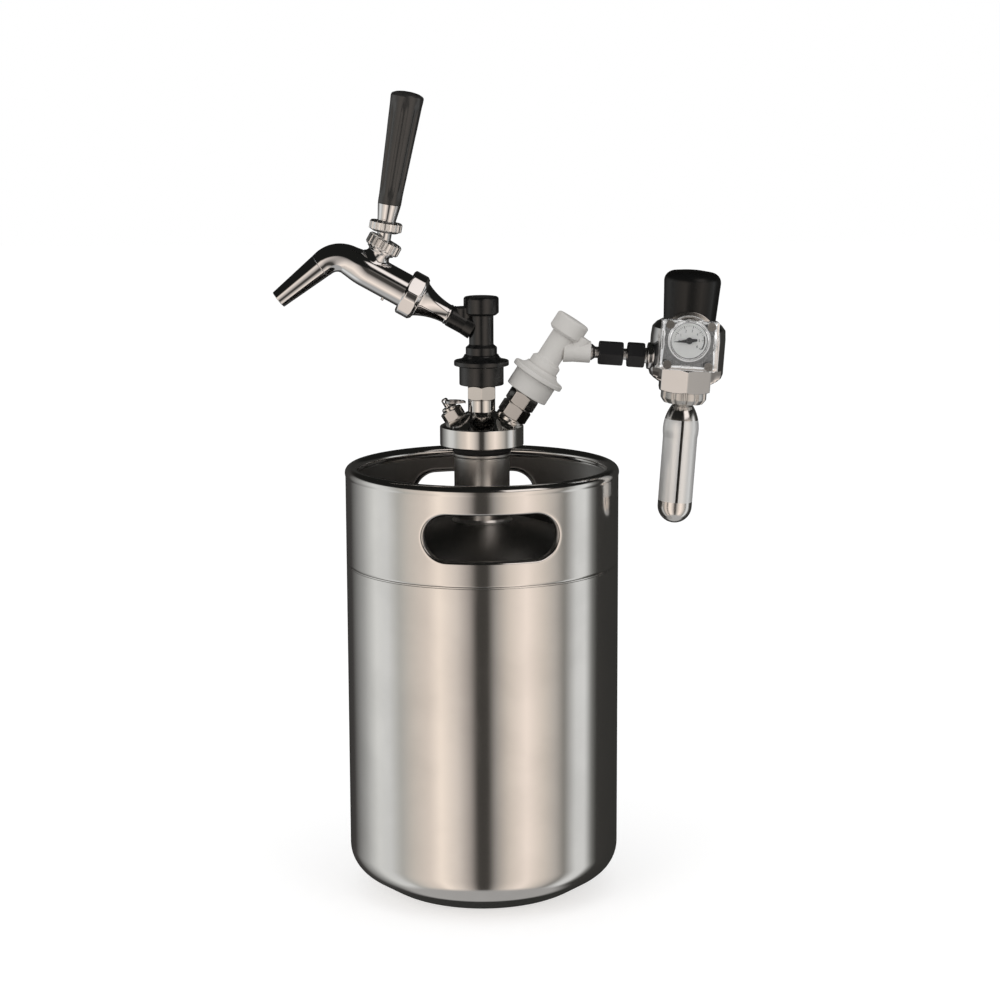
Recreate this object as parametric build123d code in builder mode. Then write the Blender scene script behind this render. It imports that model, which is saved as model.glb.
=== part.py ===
from build123d import *
import os
from math import asin, atan2, cos, degrees, radians, sin, sqrt, tan

# Mini keg beer dispenser. Millimetres, +Z up. The origin is the centre of the keg's foot,
# the keg stands on its axis, and the tap and the regulator reach out along -X and +X.

# ---------------------------------------------------------------- clearances
fit_gap = 0.05          # between pieces that are pushed or screwed together
running_gap = 0.3       # between faces that move past each other
plate_gap = 0.3         # between flat faces on different bodies
overlap = 1.0           # of two shapes that are joined, or of a cut past its face

# ---------------------------------------------------------------- keg
keg_radius = 87.5
keg_wall = 1.2
keg_height = 279.0
seam_height = 216.3
seam_lip = 1.0          # edge of the dome that shows between vessel and collar
corner_radius = 19.9
toe_slope = 32.2        # degrees below the horizontal
toe_radius = 31.3
foot_radius = 48.8
foot_width = 5.0
base_dish = 6.0
dome_rise = 26.2
dome_bulge = 3.7
dome_flat_radius = 24.0
rim_radius = 4.3
rim_proud = 0.4
slot_length = 83.5
slot_height = 28.4
slot_drop = 32.2        # from the top of the keg to the middle of the slot
slot_turn = 3.8         # degrees round the keg from the front
slot_lip_depth = 4.0
neck_radius = 17.8
neck_bore = 14.2
neck_rise = 44.4        # from the flat of the dome to the top of the neck
neck_tail = 7.0
neck_lip = 0.7
neck_lip_height = 2.7
weld_leg = 2.4

# ---------------------------------------------------------------- tapping head
gasket_height = 3.5
gasket_radius = 18.7
shoulder_height = 0.9
flange_radius = 26.75
flange_height = 12.2
flange_edge = 0.6
cone_height = 9.4
boss_radius = 8.7
boss_height = 7.8
spigot_length = 22.0
spigot_wall = 3.0
thread_pitch = 2.3
thread_depth = 0.8
thread_turns = 7
port_cross_height = 281.0   # where the tilted ports meet the keg's axis
gas_lean = 33.0
gas_seat = 34.1
gas_pad_radius = 9.4
relief_lean = -31.0
relief_seat = 32.4
relief_pad_radius = 6.8
port_start = 9.0        # bores and pads of the tilted ports, from the crossing point
pad_start = 20.0
spot_depth = 6.0

# ---------------------------------------------------------------- ball-lock posts
post_hex = 17.5
post_hex_height = 8.7
post_hex_edge = 0.8
post_tip_edge = 0.6
notch_radius = 1.0
notch_half_height = 0.7
poppet_proud = 1.0      # pin above the tip
poppet_tail = 1.5
post_stub_radius = 7.0
post_stub_height = 6.0
post_barrel_radius = 8.1
post_groove_radius = 7.0
post_groove_low = 11.7
post_groove_high = 14.7
post_barrel_high = 17.5
post_cone_high = 20.0
post_tip_radius = 6.4
post_height = 29.5
post_chamber_radius = 5.2
post_chamber_high = 22.0
post_hole_radius = 2.4
ring_groove_low = 24.4
ring_groove_high = 26.9
ring_groove_radius = 4.9
ring_wire = 1.7
tube_flange_radius = 6.7
tube_flange_height = 1.2
tube_radius = 4.0
tube_wall = 0.7
tube_floor_gap = 9.0    # dip tube end above the vessel's dished bottom
adapter_hex_height = 8.8
adapter_shank = 5.9
adapter_shank_length = 8.5
adapter_bore = 2.6
valve_stem_radius = 1.9
valve_head_radius = 4.3
valve_head_height = 2.2
valve_head_edge = 0.8
valve_lift = 1.9        # open gap under the seat of post and disconnect
valve_spring_radius = 3.3
valve_spring_wire = 0.6
valve_spring_turns = 5

# ---------------------------------------------------------------- disconnects
skirt_gap = 0.5         # from the post's hexagon to the skirt
skirt_radius = 14.15
skirt_edge = 1.4
collar_flange_radius = 17.5
collar_flange_low = 12.0
collar_flange_high = 15.8
collar_high = 19.3
collar_land_radius = 10.15
collar_land_low = 2.0
collar_land_high = 6.2
collar_pocket_radius = 12.6
collar_edge = 0.6
collar_hollow = 0.7
socket_radius = 9.6
socket_bore = 8.4
socket_low = 0.8
socket_bore_high = 8.6
throat_bore = 6.75
throat_low = 11.2
throat_high = 22.8
seat_wall = 2.5
spring_flange_low = 14.0
spring_flange_radius = 12.3
band_radius = 9.98
band_high = 24.3
shaft_radius = 7.8
shaft_edge_high = 25.8
cap_low = 44.4
cap_full = 46.0
cap_foot_radius = 9.0
cap_radius = 11.2
cap_edge = 1.3
disconnect_height = 56.3
cap_thread_radius = 8.4
cap_crown = 3.0
cap_plug_length = 6.0
plunger_guide = 2.0
chamber_radius = 5.6
chamber_low = throat_high + seat_wall
lock_ball_radius = 1.5
lock_ball_count = 3
collar_spring_wire = 0.8
collar_spring_turns = 4
arm_height = 33.3
arm_rise = 29.0
arm_length = 23.0
arm_radius = 7.0
arm_bore = 3.9
arm_socket = 11.0
arm_port_radius = 2.4

# ---------------------------------------------------------------- faucet
adapter_tail_radius = 3.65
tail_gap = 1.0          # from the bottom of the arm's bore to the tail
adapter_passage = 2.4
adapter_bead_radius = 6.7
adapter_bead_width = 1.7
adapter_small_radius = 6.3
adapter_full_radius = 11.4
adapter_hollow = 1.1
tap_shank_radius = 12.2
tap_shank_start = 43.5
tap_shank_end = 52.0
tap_nut_start = 44.0
tap_nut_length = 11.2
tap_nut_radius = 15.4
tap_nut_edge = 2.2
tap_nut_lip = 1.5
tap_flat_count = 6
tap_flat_depth = 1.0
tap_flange = 1.7
tap_radius = 10.9
tap_bore = 7.6
tap_waist = 86.0
tap_bend_start = 95.0
tap_bend_start_radius = 9.4
tap_bend_radius = 14.0
tap_bend_turn = 67.2
tap_bend_end_radius = 8.4
tap_seam_run = 3.6
tap_seam_radius = 8.1
tap_passage = 5.2
valve_seat_length = 2.4
spout_length = 34.2
spout_tip_radius = 5.75
spout_tip_bore = 4.6
spout_spigot_radius = 6.5
spout_spigot_length = 5.0
lever_place = 80.7
lever_pivot = 17.2
lever_tilt = 18.8       # each way from square to the faucet
throat_radius = 5.4
bonnet_neck_radius = 7.4
neck_flare = 1.5
bonnet_thread_radius = 9.0
bonnet_thread_low = 14.6
bonnet_low = 15.6
bonnet_high = 22.9
bonnet_radius = 11.3
bonnet_edge = 1.0
bonnet_mouth = 5.11
scallop_count = 18
scallop_radius = 1.1
scallop_depth = 0.5
ball_radius = 6.6
lever_stem_radius = 4.6
lever_stem_high = 9.5
lever_thread_radius = 3.4
lever_thread_high = 34.0
finger_radius = 1.6
finger_reach = 18.2
lever_ring_high = 16.6
lever_ring_radius = 10.4
lever_ring_low_radius = 7.1
lever_ring_rise = 1.6
ferrule_high = 27.4
ferrule_low_radius = 5.9
ferrule_foot = 0.8
handle_low_radius = 7.35
handle_high_radius = 10.5
handle_high = 95.0
handle_crown = 3.4
handle_edge = 2.6
flute_count = 8
flute_radius = 3.2
flute_depth = 0.8
flute_inset = 9.0
shuttle_slot_place = 75.2
shuttle_slot_length = 6.6
shuttle_slot_width = 3.8
shuttle_low = 69.0
shuttle_neck = 81.8
shuttle_radius = 4.0
shuttle_vane_radius = 7.3
shuttle_vane_length = 3.0
shuttle_vane_width = 1.6
shuttle_ring_wire = 2.0
shuttle_ring_radius = 5.6
shuttle_flange_radius = 6.2
shuttle_nose_radius = 4.9
shuttle_nose_edge = 0.6
shuttle_flange_height = 1.1
tap_pin_place = 65.2
tap_pin_radius = 0.9
tap_pin_proud = 1.6

# ---------------------------------------------------------------- gas line
stem_radius = 3.65
stem_bore = 1.8
stem_shoulder_radius = 5.2
stem_shoulder_width = 1.4
stem_flange_radius = 5.4
stem_flange_width = 2.0
stem_end = 38.0
swivel_nut_start = 28.0
swivel_nut_length = 15.6
swivel_nut_hex = 14.3
outlet_nut_start = 46.3
outlet_nut_length = 11.0
outlet_nut_hex = 15.0
outlet_neck_radius = 3.35
outlet_collar_radius = 5.05
nut_edge = 0.9
outlet_port_depth = 9.0
regulator_reach = 84.2

# ---------------------------------------------------------------- regulator
port_drop = 13.3        # gas port below the middle of the gauge
port_boss_radius = 8.6
port_boss_reach = 25.2
port_drill = 1.5
port_rise = 9.0
barrel_radius = 17.4
body_radius = 23.8
body_front = 15.0
body_top = 11.2
body_top_radius = 17.0
body_shoulder = 6.0
body_shoulder_radius = 23.3
body_neck_radius = 20.7
body_neck_high = 9.0
body_low = -21.5
body_flare_radius = 22.8
body_flare_low = -24.5
body_foot_radius = 20.4
body_foot_low = -26.7
socket_top = -28.6
socket_hex = 31.4
socket_hex_height = 5.9
socket_hex_edge = 1.2
cartridge_socket_low = -42.0
socket_ring_radius = 14.6
socket_ring_edge = 3.0
socket_ring_low_radius = 12.4
socket_recess_radius = 9.0
socket_recess_depth = 2.4
socket_thread_radius = 13.0
socket_thread_length = 7.0
socket_slot_count = 12
socket_slot_radius = 1.2
spring_room_radius = 13.8
spring_room_floor = -2.0
inlet_radius = 4.0
inlet_high = -17.0
regulator_seat_radius = 1.4
diaphragm_height = 1.6
bonnet_flange_high = 10.6
bonnet_tube_radius = 12.9
bonnet_tube_bore = 10.7
bonnet_tube_high = 31.0
spring_cap_radius = 10.4
spring_cap_top = 29.2
spring_cap_height = 3.0
spring_cap_stem_radius = 3.0
spring_cap_stem_high = 36.5
regulator_spring_wire = 1.8
regulator_spring_radius = 7.8
regulator_spring_turns = 5
knob_foot = 11.5
knob_low_radius = 16.75
knob_high_radius = 18.1
knob_high = 35.0
knob_top = 43.0
knob_edge = 7.0
knob_bore = 13.4
knob_roof = 37.5
knob_boss_radius = 5.6
knob_boss_low = 30.4
gauge_shift = -1.0
gauge_ring_radius = 20.5
gauge_back = 3.6
plate_width = 36.0
plate_height = 31.6
plate_drop = 2.8
plate_depth = 6.0
plate_corner = 1.6
dial_radius = 11.6
dial_thickness = 0.6
dial_pocket_radius = 12.2
dial_pocket_depth = 3.7
needle_length = 9.2
needle_tail = 5.0
needle_width = 1.4
needle_thickness = 0.4
needle_lift = 1.2
needle_pin_radius = 0.7
needle_hub_radius = 2.1
needle_rest_turn = 188.0
screw_span_x = 26.0
screw_span_y = 25.2
screw_radius = 1.45
screw_head_radius = 2.7
screw_head_height = 1.5
screw_grip = 8.0
screw_slot_width = 0.7
screw_slot_length = 3.5
screw_turn = 20.0

# ---------------------------------------------------------------- cartridge
cartridge_top = -31.0
cartridge_length = 88.8
cartridge_radius = 11.0
cartridge_wall = 1.8
cartridge_edge = 0.4
cartridge_thread_radius = 4.7
cartridge_thread_length = 11.0
cartridge_neck_radius = 7.15
cartridge_neck_drop = 13.0
cartridge_shoulder_drop = 33.0
cartridge_bulge = 1.9
cartridge_mouth_radius = 1.4
cartridge_mouth_depth = 3.6
pierce_radius = 1.1
pierce_bore = 0.5
pierce_reach = 3.0      # into the cartridge's mouth
pierce_head_radius = 3.0
pierce_head_height = 1.5

# ---------------------------------------------------------------- pressure relief valve
relief_hex = 13.0
relief_hex_height = 6.5
relief_collar_radius = 5.0
relief_collar_height = 2.6
relief_shank_radius = 4.2
relief_shank_length = 8.0
relief_bore = 3.0
relief_stem_radius = 2.2
relief_stem_proud = 5.6
relief_eye_drop = 2.2
relief_eye_radius = 1.3
relief_seal_radius = 2.9
relief_spring_wire = 0.5
relief_spring_turns = 6
relief_hex_edge = 0.6
relief_rod_radius = 1.6
relief_stem_edge = 0.8
relief_seal_inset = 1.0
relief_seal_height = 2.0
pull_ring_radius = 6.3
pull_ring_wire = 0.75

os.makedirs("parts", exist_ok=True)


def leaning(x, z, lean):
    """Plane whose Z axis leans from upright towards +X by lean degrees, its origin at (x, 0, z)."""
    angle = radians(lean)
    return Plane(origin=(x, 0, z), x_dir=(cos(angle), 0, -sin(angle)), z_dir=(sin(angle), 0, cos(angle)))


def moved(frame, side, height):
    """The same frame with its origin moved along its own X and Z axes."""
    origin = frame.origin + frame.x_dir * side + frame.z_dir * height
    return Plane(origin=origin, x_dir=frame.x_dir, z_dir=frame.z_dir)


def leant(frame, lean):
    """The frame turned about its own Y axis, its Z axis towards its X axis by lean degrees."""
    angle = radians(lean)
    return Plane(
        origin=frame.origin,
        x_dir=frame.x_dir * cos(angle) - frame.z_dir * sin(angle),
        z_dir=frame.x_dir * sin(angle) + frame.z_dir * cos(angle),
    )


def section(frame):
    """Half-plane through the frame's Z axis: x is the distance from it, y the height along it."""
    return Plane(origin=frame.origin, x_dir=frame.x_dir, z_dir=-frame.y_dir)


def turn(frame, *outline, mode=Mode.ADD):
    """Solid turned about the frame's Z axis from the corners of its half section."""
    with BuildSketch(section(frame)) as half:
        with BuildLine():
            Polyline(*outline, close=True)
        make_face()
    revolve(half.sketch, axis=Axis(frame.origin, frame.z_dir), mode=mode)


def rod(frame, radius, low, high, mode=Mode.ADD):
    """Round bar about the frame's Z axis between two heights."""
    with BuildSketch(frame.offset(low)) as disc:
        Circle(radius)
    extrude(disc.sketch, amount=high - low, mode=mode)


def hexagon(frame, across_flats, low, high, edge, mode=Mode.ADD):
    """Hexagon bar with turned edges at both ends, a corner towards the frame's Y axis."""
    corner = across_flats / sqrt(3)
    flat = across_flats / 2
    with BuildSketch(frame.offset(low)) as outline:
        RegularPolygon(flat, 6, major_radius=False, rotation=30)
    bar = extrude(outline.sketch, amount=high - low, mode=Mode.PRIVATE)
    with BuildSketch(section(frame)) as half:
        with BuildLine():
            Polyline(
                (0, low), (flat, low), (corner, low + edge), (corner, high - edge),
                (flat, high), (0, high), close=True,
            )
        make_face()
    turned = revolve(half.sketch, axis=Axis(frame.origin, frame.z_dir), mode=Mode.PRIVATE)
    add(bar.intersect(turned), mode=mode)


def ring(frame, radius, wire_radius, height):
    """Ring of round section about the frame's Z axis."""
    with BuildSketch(section(frame)) as half:
        with Locations((radius, height)):
            Circle(wire_radius)
    revolve(half.sketch, axis=Axis(frame.origin, frame.z_dir))


def coil(frame, radius, wire, low, high, turns):
    """Helical spring whose wire lies between two heights."""
    pitch = (high - low - wire) / turns
    start = moved(frame, 0, low + wire / 2)
    with BuildLine() as centre:
        Helix(pitch, pitch * turns, radius, center=start.origin, direction=start.z_dir)
    with BuildSketch(Plane(origin=centre.line @ 0, z_dir=centre.line % 0)) as wire_section:
        Circle(wire / 2)
    sweep(wire_section.sketch, path=centre.line, is_frenet=True)


def crown(side, low, top):
    """Domed line of a half section, from (side, low) to the axis at (0, top)."""
    rise = top - low
    radius = (side * side + rise * rise) / (2 * rise)
    spread = degrees(asin(side / radius))
    CenterArc((0, top - radius), radius, 90 - spread, spread)


def around(frame, index, count):
    """Direction across the frame's Z axis, the index-th of count equal steps from its X axis."""
    angle = radians(360 * index / count)
    return frame.x_dir * cos(angle) + frame.y_dir * sin(angle)


def keep(piece, name):
    """Label a finished piece and write its STEP file."""
    piece.part.label = name
    export_step(piece.part, f"parts/{name}.step")


# ================================================================ keg
keg = Plane.XY
slope = radians(toe_slope)
toe_reach = foot_radius + toe_radius * sin(slope)
toe_top = toe_radius * (1 - cos(slope))
corner_reach = keg_radius - corner_radius * (1 - sin(slope))
corner_height = toe_top + (corner_reach - toe_reach) * tan(slope) + corner_radius * cos(slope)
lip_low = seam_height - seam_lip / 2
lip_high = seam_height + seam_lip / 2
dome_top = lip_high + dome_rise
neck_top = dome_top + neck_rise


def cup_edge(inset):
    """Half outline of the vessel from the seam down to the axis, inset from the outside."""
    side = keg_radius - inset
    foot_inner = foot_radius - foot_width
    dish_edge = foot_inner - base_dish * 2
    turned = 90 - toe_slope
    Line((side, lip_low), (side, corner_height))
    bend = CenterArc((keg_radius - corner_radius, corner_height), corner_radius - inset, 0, -turned)
    toe = CenterArc((foot_radius, toe_radius), toe_radius - inset, -turned, -toe_slope)
    Line(bend @ 1, toe @ 0)
    Polyline(toe @ 1, (foot_inner, inset), (dish_edge, base_dish + inset), (0, base_dish + inset))


# Vessel: a cup drawn from stainless sheet, its toe conical, standing on a flat ring.
with BuildPart() as keg_vessel:
    with BuildSketch(section(keg)):
        with BuildLine():
            cup_edge(0)
            cup_edge(keg_wall)
            Line((keg_radius, lip_low), (keg_radius - keg_wall, lip_low))
            Line((0, base_dish), (0, base_dish + keg_wall))
        make_face()
    revolve(axis=Axis.Z)
keep(keg_vessel, "keg_vessel")

# Domed top: its edge is the lip that the vessel and the collar are welded to.
with BuildPart() as keg_dome:
    dome_edge = keg_radius - keg_wall - fit_gap
    under_edge = dome_edge - keg_wall
    neck_hole = neck_radius + fit_gap
    with BuildSketch(section(keg)):
        with BuildLine():
            Polyline(
                (under_edge, lip_low), (keg_radius, lip_low), (keg_radius, lip_high), (dome_edge, lip_high),
            )
            SagittaArc((dome_edge, lip_high), (dome_flat_radius, dome_top), -dome_bulge)
            Polyline(
                (dome_flat_radius, dome_top), (neck_hole, dome_top), (neck_hole, dome_top - keg_wall),
                (dome_flat_radius, dome_top - keg_wall),
            )
            SagittaArc((dome_flat_radius, dome_top - keg_wall), (under_edge, lip_low), dome_bulge)
        make_face()
    revolve(axis=Axis.Z)
keep(keg_dome, "keg_dome")

# Threaded neck, standing on the flat of the dome with its weld bead.
with BuildPart() as keg_neck:
    turn(
        keg,
        (neck_bore, dome_top - neck_tail),
        (neck_radius, dome_top - neck_tail),
        (neck_radius, dome_top),
        (neck_radius + weld_leg, dome_top),
        (neck_radius, dome_top + weld_leg),
        (neck_radius, neck_top - neck_lip_height - neck_lip),
        (neck_radius - neck_lip, neck_top - neck_lip_height - neck_lip),
        (neck_radius - neck_lip, neck_top - neck_lip_height),
        (neck_radius + neck_lip / 2, neck_top - neck_lip_height),
        (neck_radius + neck_lip, neck_top - neck_lip_height + neck_lip),
        (neck_radius + neck_lip, neck_top - neck_lip),
        (neck_radius, neck_top),
        (neck_bore, neck_top),
    )
keep(keg_neck, "keg_neck")

# Handle collar: rolled rim, and two opposite hand slots with lips turned inwards.
slot_angle = radians(slot_turn)
slot_plane = Plane(
    origin=(0, 0, keg_height - slot_drop),
    x_dir=(cos(slot_angle), sin(slot_angle), 0),
    z_dir=(sin(slot_angle), -cos(slot_angle), 0),
)

with BuildPart() as slot_lips:
    with BuildSketch(slot_plane):
        SlotOverall(slot_length + 2 * keg_wall, slot_height + 2 * keg_wall)
    extrude(amount=keg_radius, both=True)
    turn(
        keg,
        (keg_radius - slot_lip_depth, lip_high),
        (keg_radius, lip_high),
        (keg_radius, keg_height),
        (keg_radius - slot_lip_depth, keg_height),
        mode=Mode.INTERSECT,
    )

with BuildPart() as handle_collar:
    rim_centre = keg_radius + rim_proud - rim_radius
    with BuildSketch(section(keg)):
        with Locations((rim_centre, keg_height - rim_radius)):
            Circle(rim_radius)
            Circle(rim_radius - keg_wall, mode=Mode.SUBTRACT)
        with Locations((rim_centre - rim_radius, keg_height - 2 * rim_radius)):
            Rectangle(rim_radius - keg_wall, rim_radius, align=(Align.MIN, Align.MIN), mode=Mode.SUBTRACT)
        with BuildLine():
            Polyline(
                (keg_radius - keg_wall, lip_high), (keg_radius, lip_high),
                (keg_radius, keg_height - rim_radius), (keg_radius - keg_wall, keg_height - rim_radius),
                close=True,
            )
        make_face()
    revolve(axis=Axis.Z)
    add(slot_lips.part)
    with BuildSketch(slot_plane):
        SlotOverall(slot_length, slot_height)
    extrude(amount=keg_radius + rim_radius, both=True, mode=Mode.SUBTRACT)
keep(handle_collar, "handle_collar")

# ================================================================ tapping head
shoulder_low = neck_top + gasket_height
flange_low = shoulder_low + shoulder_height
flange_top = flange_low + flange_height
boss_low = flange_top + cone_height
boss_top = boss_low + boss_height
liquid_post_frame = leaning(0, boss_top, 0)
gas_axis = leaning(0, port_cross_height, gas_lean)
relief_axis = leaning(0, port_cross_height, relief_lean)
gas_adapter_frame = moved(gas_axis, 0, gas_seat)
gas_post_frame = moved(gas_adapter_frame, 0, adapter_hex_height)

# Black silicone gasket between the keg's neck and the head.
with BuildPart() as head_gasket:
    turn(
        keg,
        (neck_bore + running_gap, neck_top),
        (gasket_radius, neck_top),
        (gasket_radius, shoulder_low),
        (neck_bore + running_gap, shoulder_low),
    )
keep(head_gasket, "head_gasket")

# Head: one turned piece, with a spigot that screws into the neck and three ports.
with BuildPart() as head_body:
    spigot_radius = neck_bore - running_gap
    spigot_low = shoulder_low - spigot_length
    room_radius = spigot_radius - spigot_wall
    turn(
        keg,
        (0, spigot_low),
        (spigot_radius - thread_depth, spigot_low),
        (spigot_radius, spigot_low + thread_depth),
        (spigot_radius, shoulder_low),
        (gasket_radius + fit_gap, shoulder_low),
        (gasket_radius + fit_gap, flange_low),
        (flange_radius - flange_edge, flange_low),
        (flange_radius, flange_low + flange_edge),
        (flange_radius, flange_top - flange_edge),
        (flange_radius - flange_edge, flange_top),
        (boss_radius, boss_low),
        (boss_radius, boss_top),
        (0, boss_top),
    )
    rod(liquid_post_frame, post_stub_radius, 0, post_stub_height)
    rod(gas_axis, gas_pad_radius, pad_start, gas_seat)
    rod(relief_axis, relief_pad_radius, pad_start, relief_seat)
    turn(
        keg,
        (0, spigot_low),
        (room_radius, spigot_low),
        (room_radius, flange_low - thread_depth),
        (tube_radius + running_gap, flange_low + room_radius / 2),
        (tube_radius + running_gap, boss_top + post_stub_height),
        (0, boss_top + post_stub_height),
        mode=Mode.SUBTRACT,
    )
    gas_shank_end = gas_seat - adapter_shank_length
    relief_shank_end = relief_seat - relief_shank_length
    rod(gas_axis, adapter_bore, port_start, gas_shank_end, mode=Mode.SUBTRACT)
    rod(gas_axis, adapter_shank + fit_gap, gas_shank_end, gas_seat, mode=Mode.SUBTRACT)
    rod(gas_axis, post_hex / sqrt(3) + running_gap, gas_seat, gas_seat + spot_depth, mode=Mode.SUBTRACT)
    rod(relief_axis, relief_bore, port_start, relief_shank_end, mode=Mode.SUBTRACT)
    rod(relief_axis, relief_shank_radius + fit_gap, relief_shank_end, relief_seat, mode=Mode.SUBTRACT)
    rod(
        relief_axis, relief_hex / sqrt(3) + running_gap, relief_seat, relief_seat + spot_depth,
        mode=Mode.SUBTRACT,
    )
    for index in range(thread_turns):
        groove = spigot_low + thread_pitch * (index + 1)
        turn(
            keg,
            (spigot_radius - thread_depth, groove),
            (spigot_radius + thread_depth, groove - thread_pitch / 2),
            (spigot_radius + thread_depth, groove + thread_pitch / 2),
            mode=Mode.SUBTRACT,
        )
keep(head_body, "head_body")

# Hexagonal adapter that carries the gas post on the tilted port.
with BuildPart() as gas_post_adapter:
    hexagon(gas_adapter_frame, post_hex, 0, adapter_hex_height, post_hex_edge)
    rod(gas_adapter_frame, adapter_shank, -adapter_shank_length, 0)
    rod(gas_post_frame, post_stub_radius, 0, post_stub_height + tube_flange_height)
    rod(
        gas_adapter_frame, adapter_bore, -adapter_shank_length,
        adapter_hex_height + post_stub_height + tube_flange_height, mode=Mode.SUBTRACT,
    )
keep(gas_post_adapter, "gas_post_adapter")

# Dip tube: its flange is held between the head's stub and the liquid post.
with BuildPart() as dip_tube:
    tube_top = boss_top + post_stub_height + tube_flange_height
    turn(
        keg,
        (tube_radius - tube_wall, base_dish + keg_wall + tube_floor_gap),
        (tube_radius, base_dish + keg_wall + tube_floor_gap),
        (tube_radius, boss_top + post_stub_height),
        (tube_flange_radius, boss_top + post_stub_height),
        (tube_flange_radius, tube_top),
        (tube_radius - tube_wall, tube_top),
    )
keep(dip_tube, "dip_tube")


def post(frame, name, notched):
    """Ball-lock post: hexagon, barrel with the groove for the lock balls, and sealed tip."""
    with BuildPart() as body:
        hexagon(frame, post_hex, 0, post_hex_height, post_hex_edge)
        turn(
            frame,
            (0, post_hex_height - overlap),
            (post_barrel_radius, post_hex_height - overlap),
            (post_barrel_radius, post_groove_low),
            (post_groove_radius, post_groove_low),
            (post_groove_radius, post_groove_high),
            (post_barrel_radius, post_groove_high),
            (post_barrel_radius, post_barrel_high),
            (post_tip_radius, post_cone_high),
            (post_tip_radius, ring_groove_low),
            (ring_groove_radius, ring_groove_low),
            (ring_groove_radius, ring_groove_high),
            (post_tip_radius, ring_groove_high),
            (post_tip_radius, post_height - post_tip_edge),
            (post_tip_radius - post_tip_edge, post_height),
            (0, post_height),
        )
        stub_room = post_stub_height + tube_flange_height + running_gap
        rod(frame, post_stub_radius + fit_gap, 0, stub_room, mode=Mode.SUBTRACT)
        rod(frame, post_chamber_radius, 0, post_chamber_high, mode=Mode.SUBTRACT)
        rod(frame, post_hole_radius, 0, post_height, mode=Mode.SUBTRACT)
        if notched:
            with BuildSketch(frame.offset(post_hex_height / 2)) as notch:
                with PolarLocations(post_hex / sqrt(3), 6, start_angle=30):
                    Circle(notch_radius)
            extrude(notch.sketch, amount=notch_half_height, both=True, mode=Mode.SUBTRACT)
    keep(body, name)


post(liquid_post_frame, "liquid_post", notched=False)
post(gas_post_frame, "gas_post", notched=True)

# Rubber rings in the grooves of both posts.
with BuildPart() as post_o_rings:
    for frame in (liquid_post_frame, gas_post_frame):
        ring_height = (ring_groove_low + ring_groove_high) / 2
        ring(frame, ring_groove_radius + ring_wire / 2, ring_wire / 2, ring_height)
keep(post_o_rings, "post_o_rings")


poppet_high = post_chamber_high - valve_lift
poppet_low = poppet_high - valve_head_height
poppet_pin = post_height + poppet_proud

# Poppets that close the posts; with the disconnects on, their pins are pushed down.
with BuildPart() as post_poppets:
    for frame in (liquid_post_frame, gas_post_frame):
        turn(
            frame,
            (0, poppet_low - poppet_tail),
            (valve_stem_radius, poppet_low - poppet_tail),
            (valve_stem_radius, poppet_low),
            (valve_head_radius, poppet_low),
            (valve_head_radius, poppet_high - valve_head_edge),
            (valve_stem_radius, poppet_high),
            (valve_stem_radius, poppet_pin),
            (0, poppet_pin),
        )
keep(post_poppets, "post_poppets")

with BuildPart() as post_poppet_springs:
    for frame in (liquid_post_frame, gas_post_frame):
        coil(
            frame, valve_spring_radius, valve_spring_wire,
            post_stub_height + tube_flange_height + fit_gap, poppet_low - fit_gap, valve_spring_turns,
        )
keep(post_poppet_springs, "post_poppet_springs")

# ================================================================ pressure relief valve
relief_frame = moved(relief_axis, 0, relief_seat)
relief_top = relief_hex_height + relief_collar_height
stem_tip = relief_top + relief_stem_proud
relief_eye = stem_tip - relief_eye_drop
seal_low = -relief_shank_length + relief_seal_inset
seal_high = seal_low + relief_seal_height

# Valve body screwed into the left port.
with BuildPart() as relief_valve_body:
    hexagon(relief_frame, relief_hex, 0, relief_hex_height, relief_hex_edge)
    rod(relief_frame, relief_collar_radius, relief_hex_height, relief_top)
    rod(relief_frame, relief_shank_radius, -relief_shank_length, 0)
    rod(relief_frame, relief_bore, -relief_shank_length, relief_hex_height, mode=Mode.SUBTRACT)
    rod(relief_frame, relief_stem_radius + fit_gap, relief_hex_height, relief_top, mode=Mode.SUBTRACT)
keep(relief_valve_body, "relief_valve_body")

# Stem with its seal at the foot and the eye for the pull ring at the top.
with BuildPart() as relief_valve_stem:
    turn(
        relief_frame,
        (0, seal_low),
        (relief_seal_radius - running_gap / 2, seal_low),
        (relief_seal_radius - running_gap / 2, seal_high),
        (relief_rod_radius, seal_high),
        (relief_rod_radius, relief_hex_height - running_gap),
        (relief_stem_radius, relief_hex_height - running_gap),
        (relief_stem_radius, stem_tip - relief_stem_edge),
        (relief_stem_radius - relief_stem_edge, stem_tip),
        (0, stem_tip),
    )
    with BuildSketch(section(relief_frame)) as eye:
        with Locations((0, relief_eye)):
            Circle(relief_eye_radius)
    extrude(eye.sketch, amount=relief_stem_radius * 2, both=True, mode=Mode.SUBTRACT)
keep(relief_valve_stem, "relief_valve_stem")

with BuildPart() as relief_valve_spring:
    coil(
        relief_frame, (relief_rod_radius + relief_bore) / 2, relief_spring_wire,
        seal_high + fit_gap, relief_hex_height - running_gap - fit_gap, relief_spring_turns,
    )
keep(relief_valve_spring, "relief_valve_spring")

# Pull ring, lying level and threaded through the eye.
eye_frame = moved(relief_frame, 0, relief_eye)
with BuildPart() as relief_pull_ring:
    ring(
        Plane(origin=eye_frame.origin + Vector(pull_ring_radius, 0, 0)),
        pull_ring_radius, pull_ring_wire, 0,
    )
keep(relief_pull_ring, "relief_pull_ring")


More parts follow.
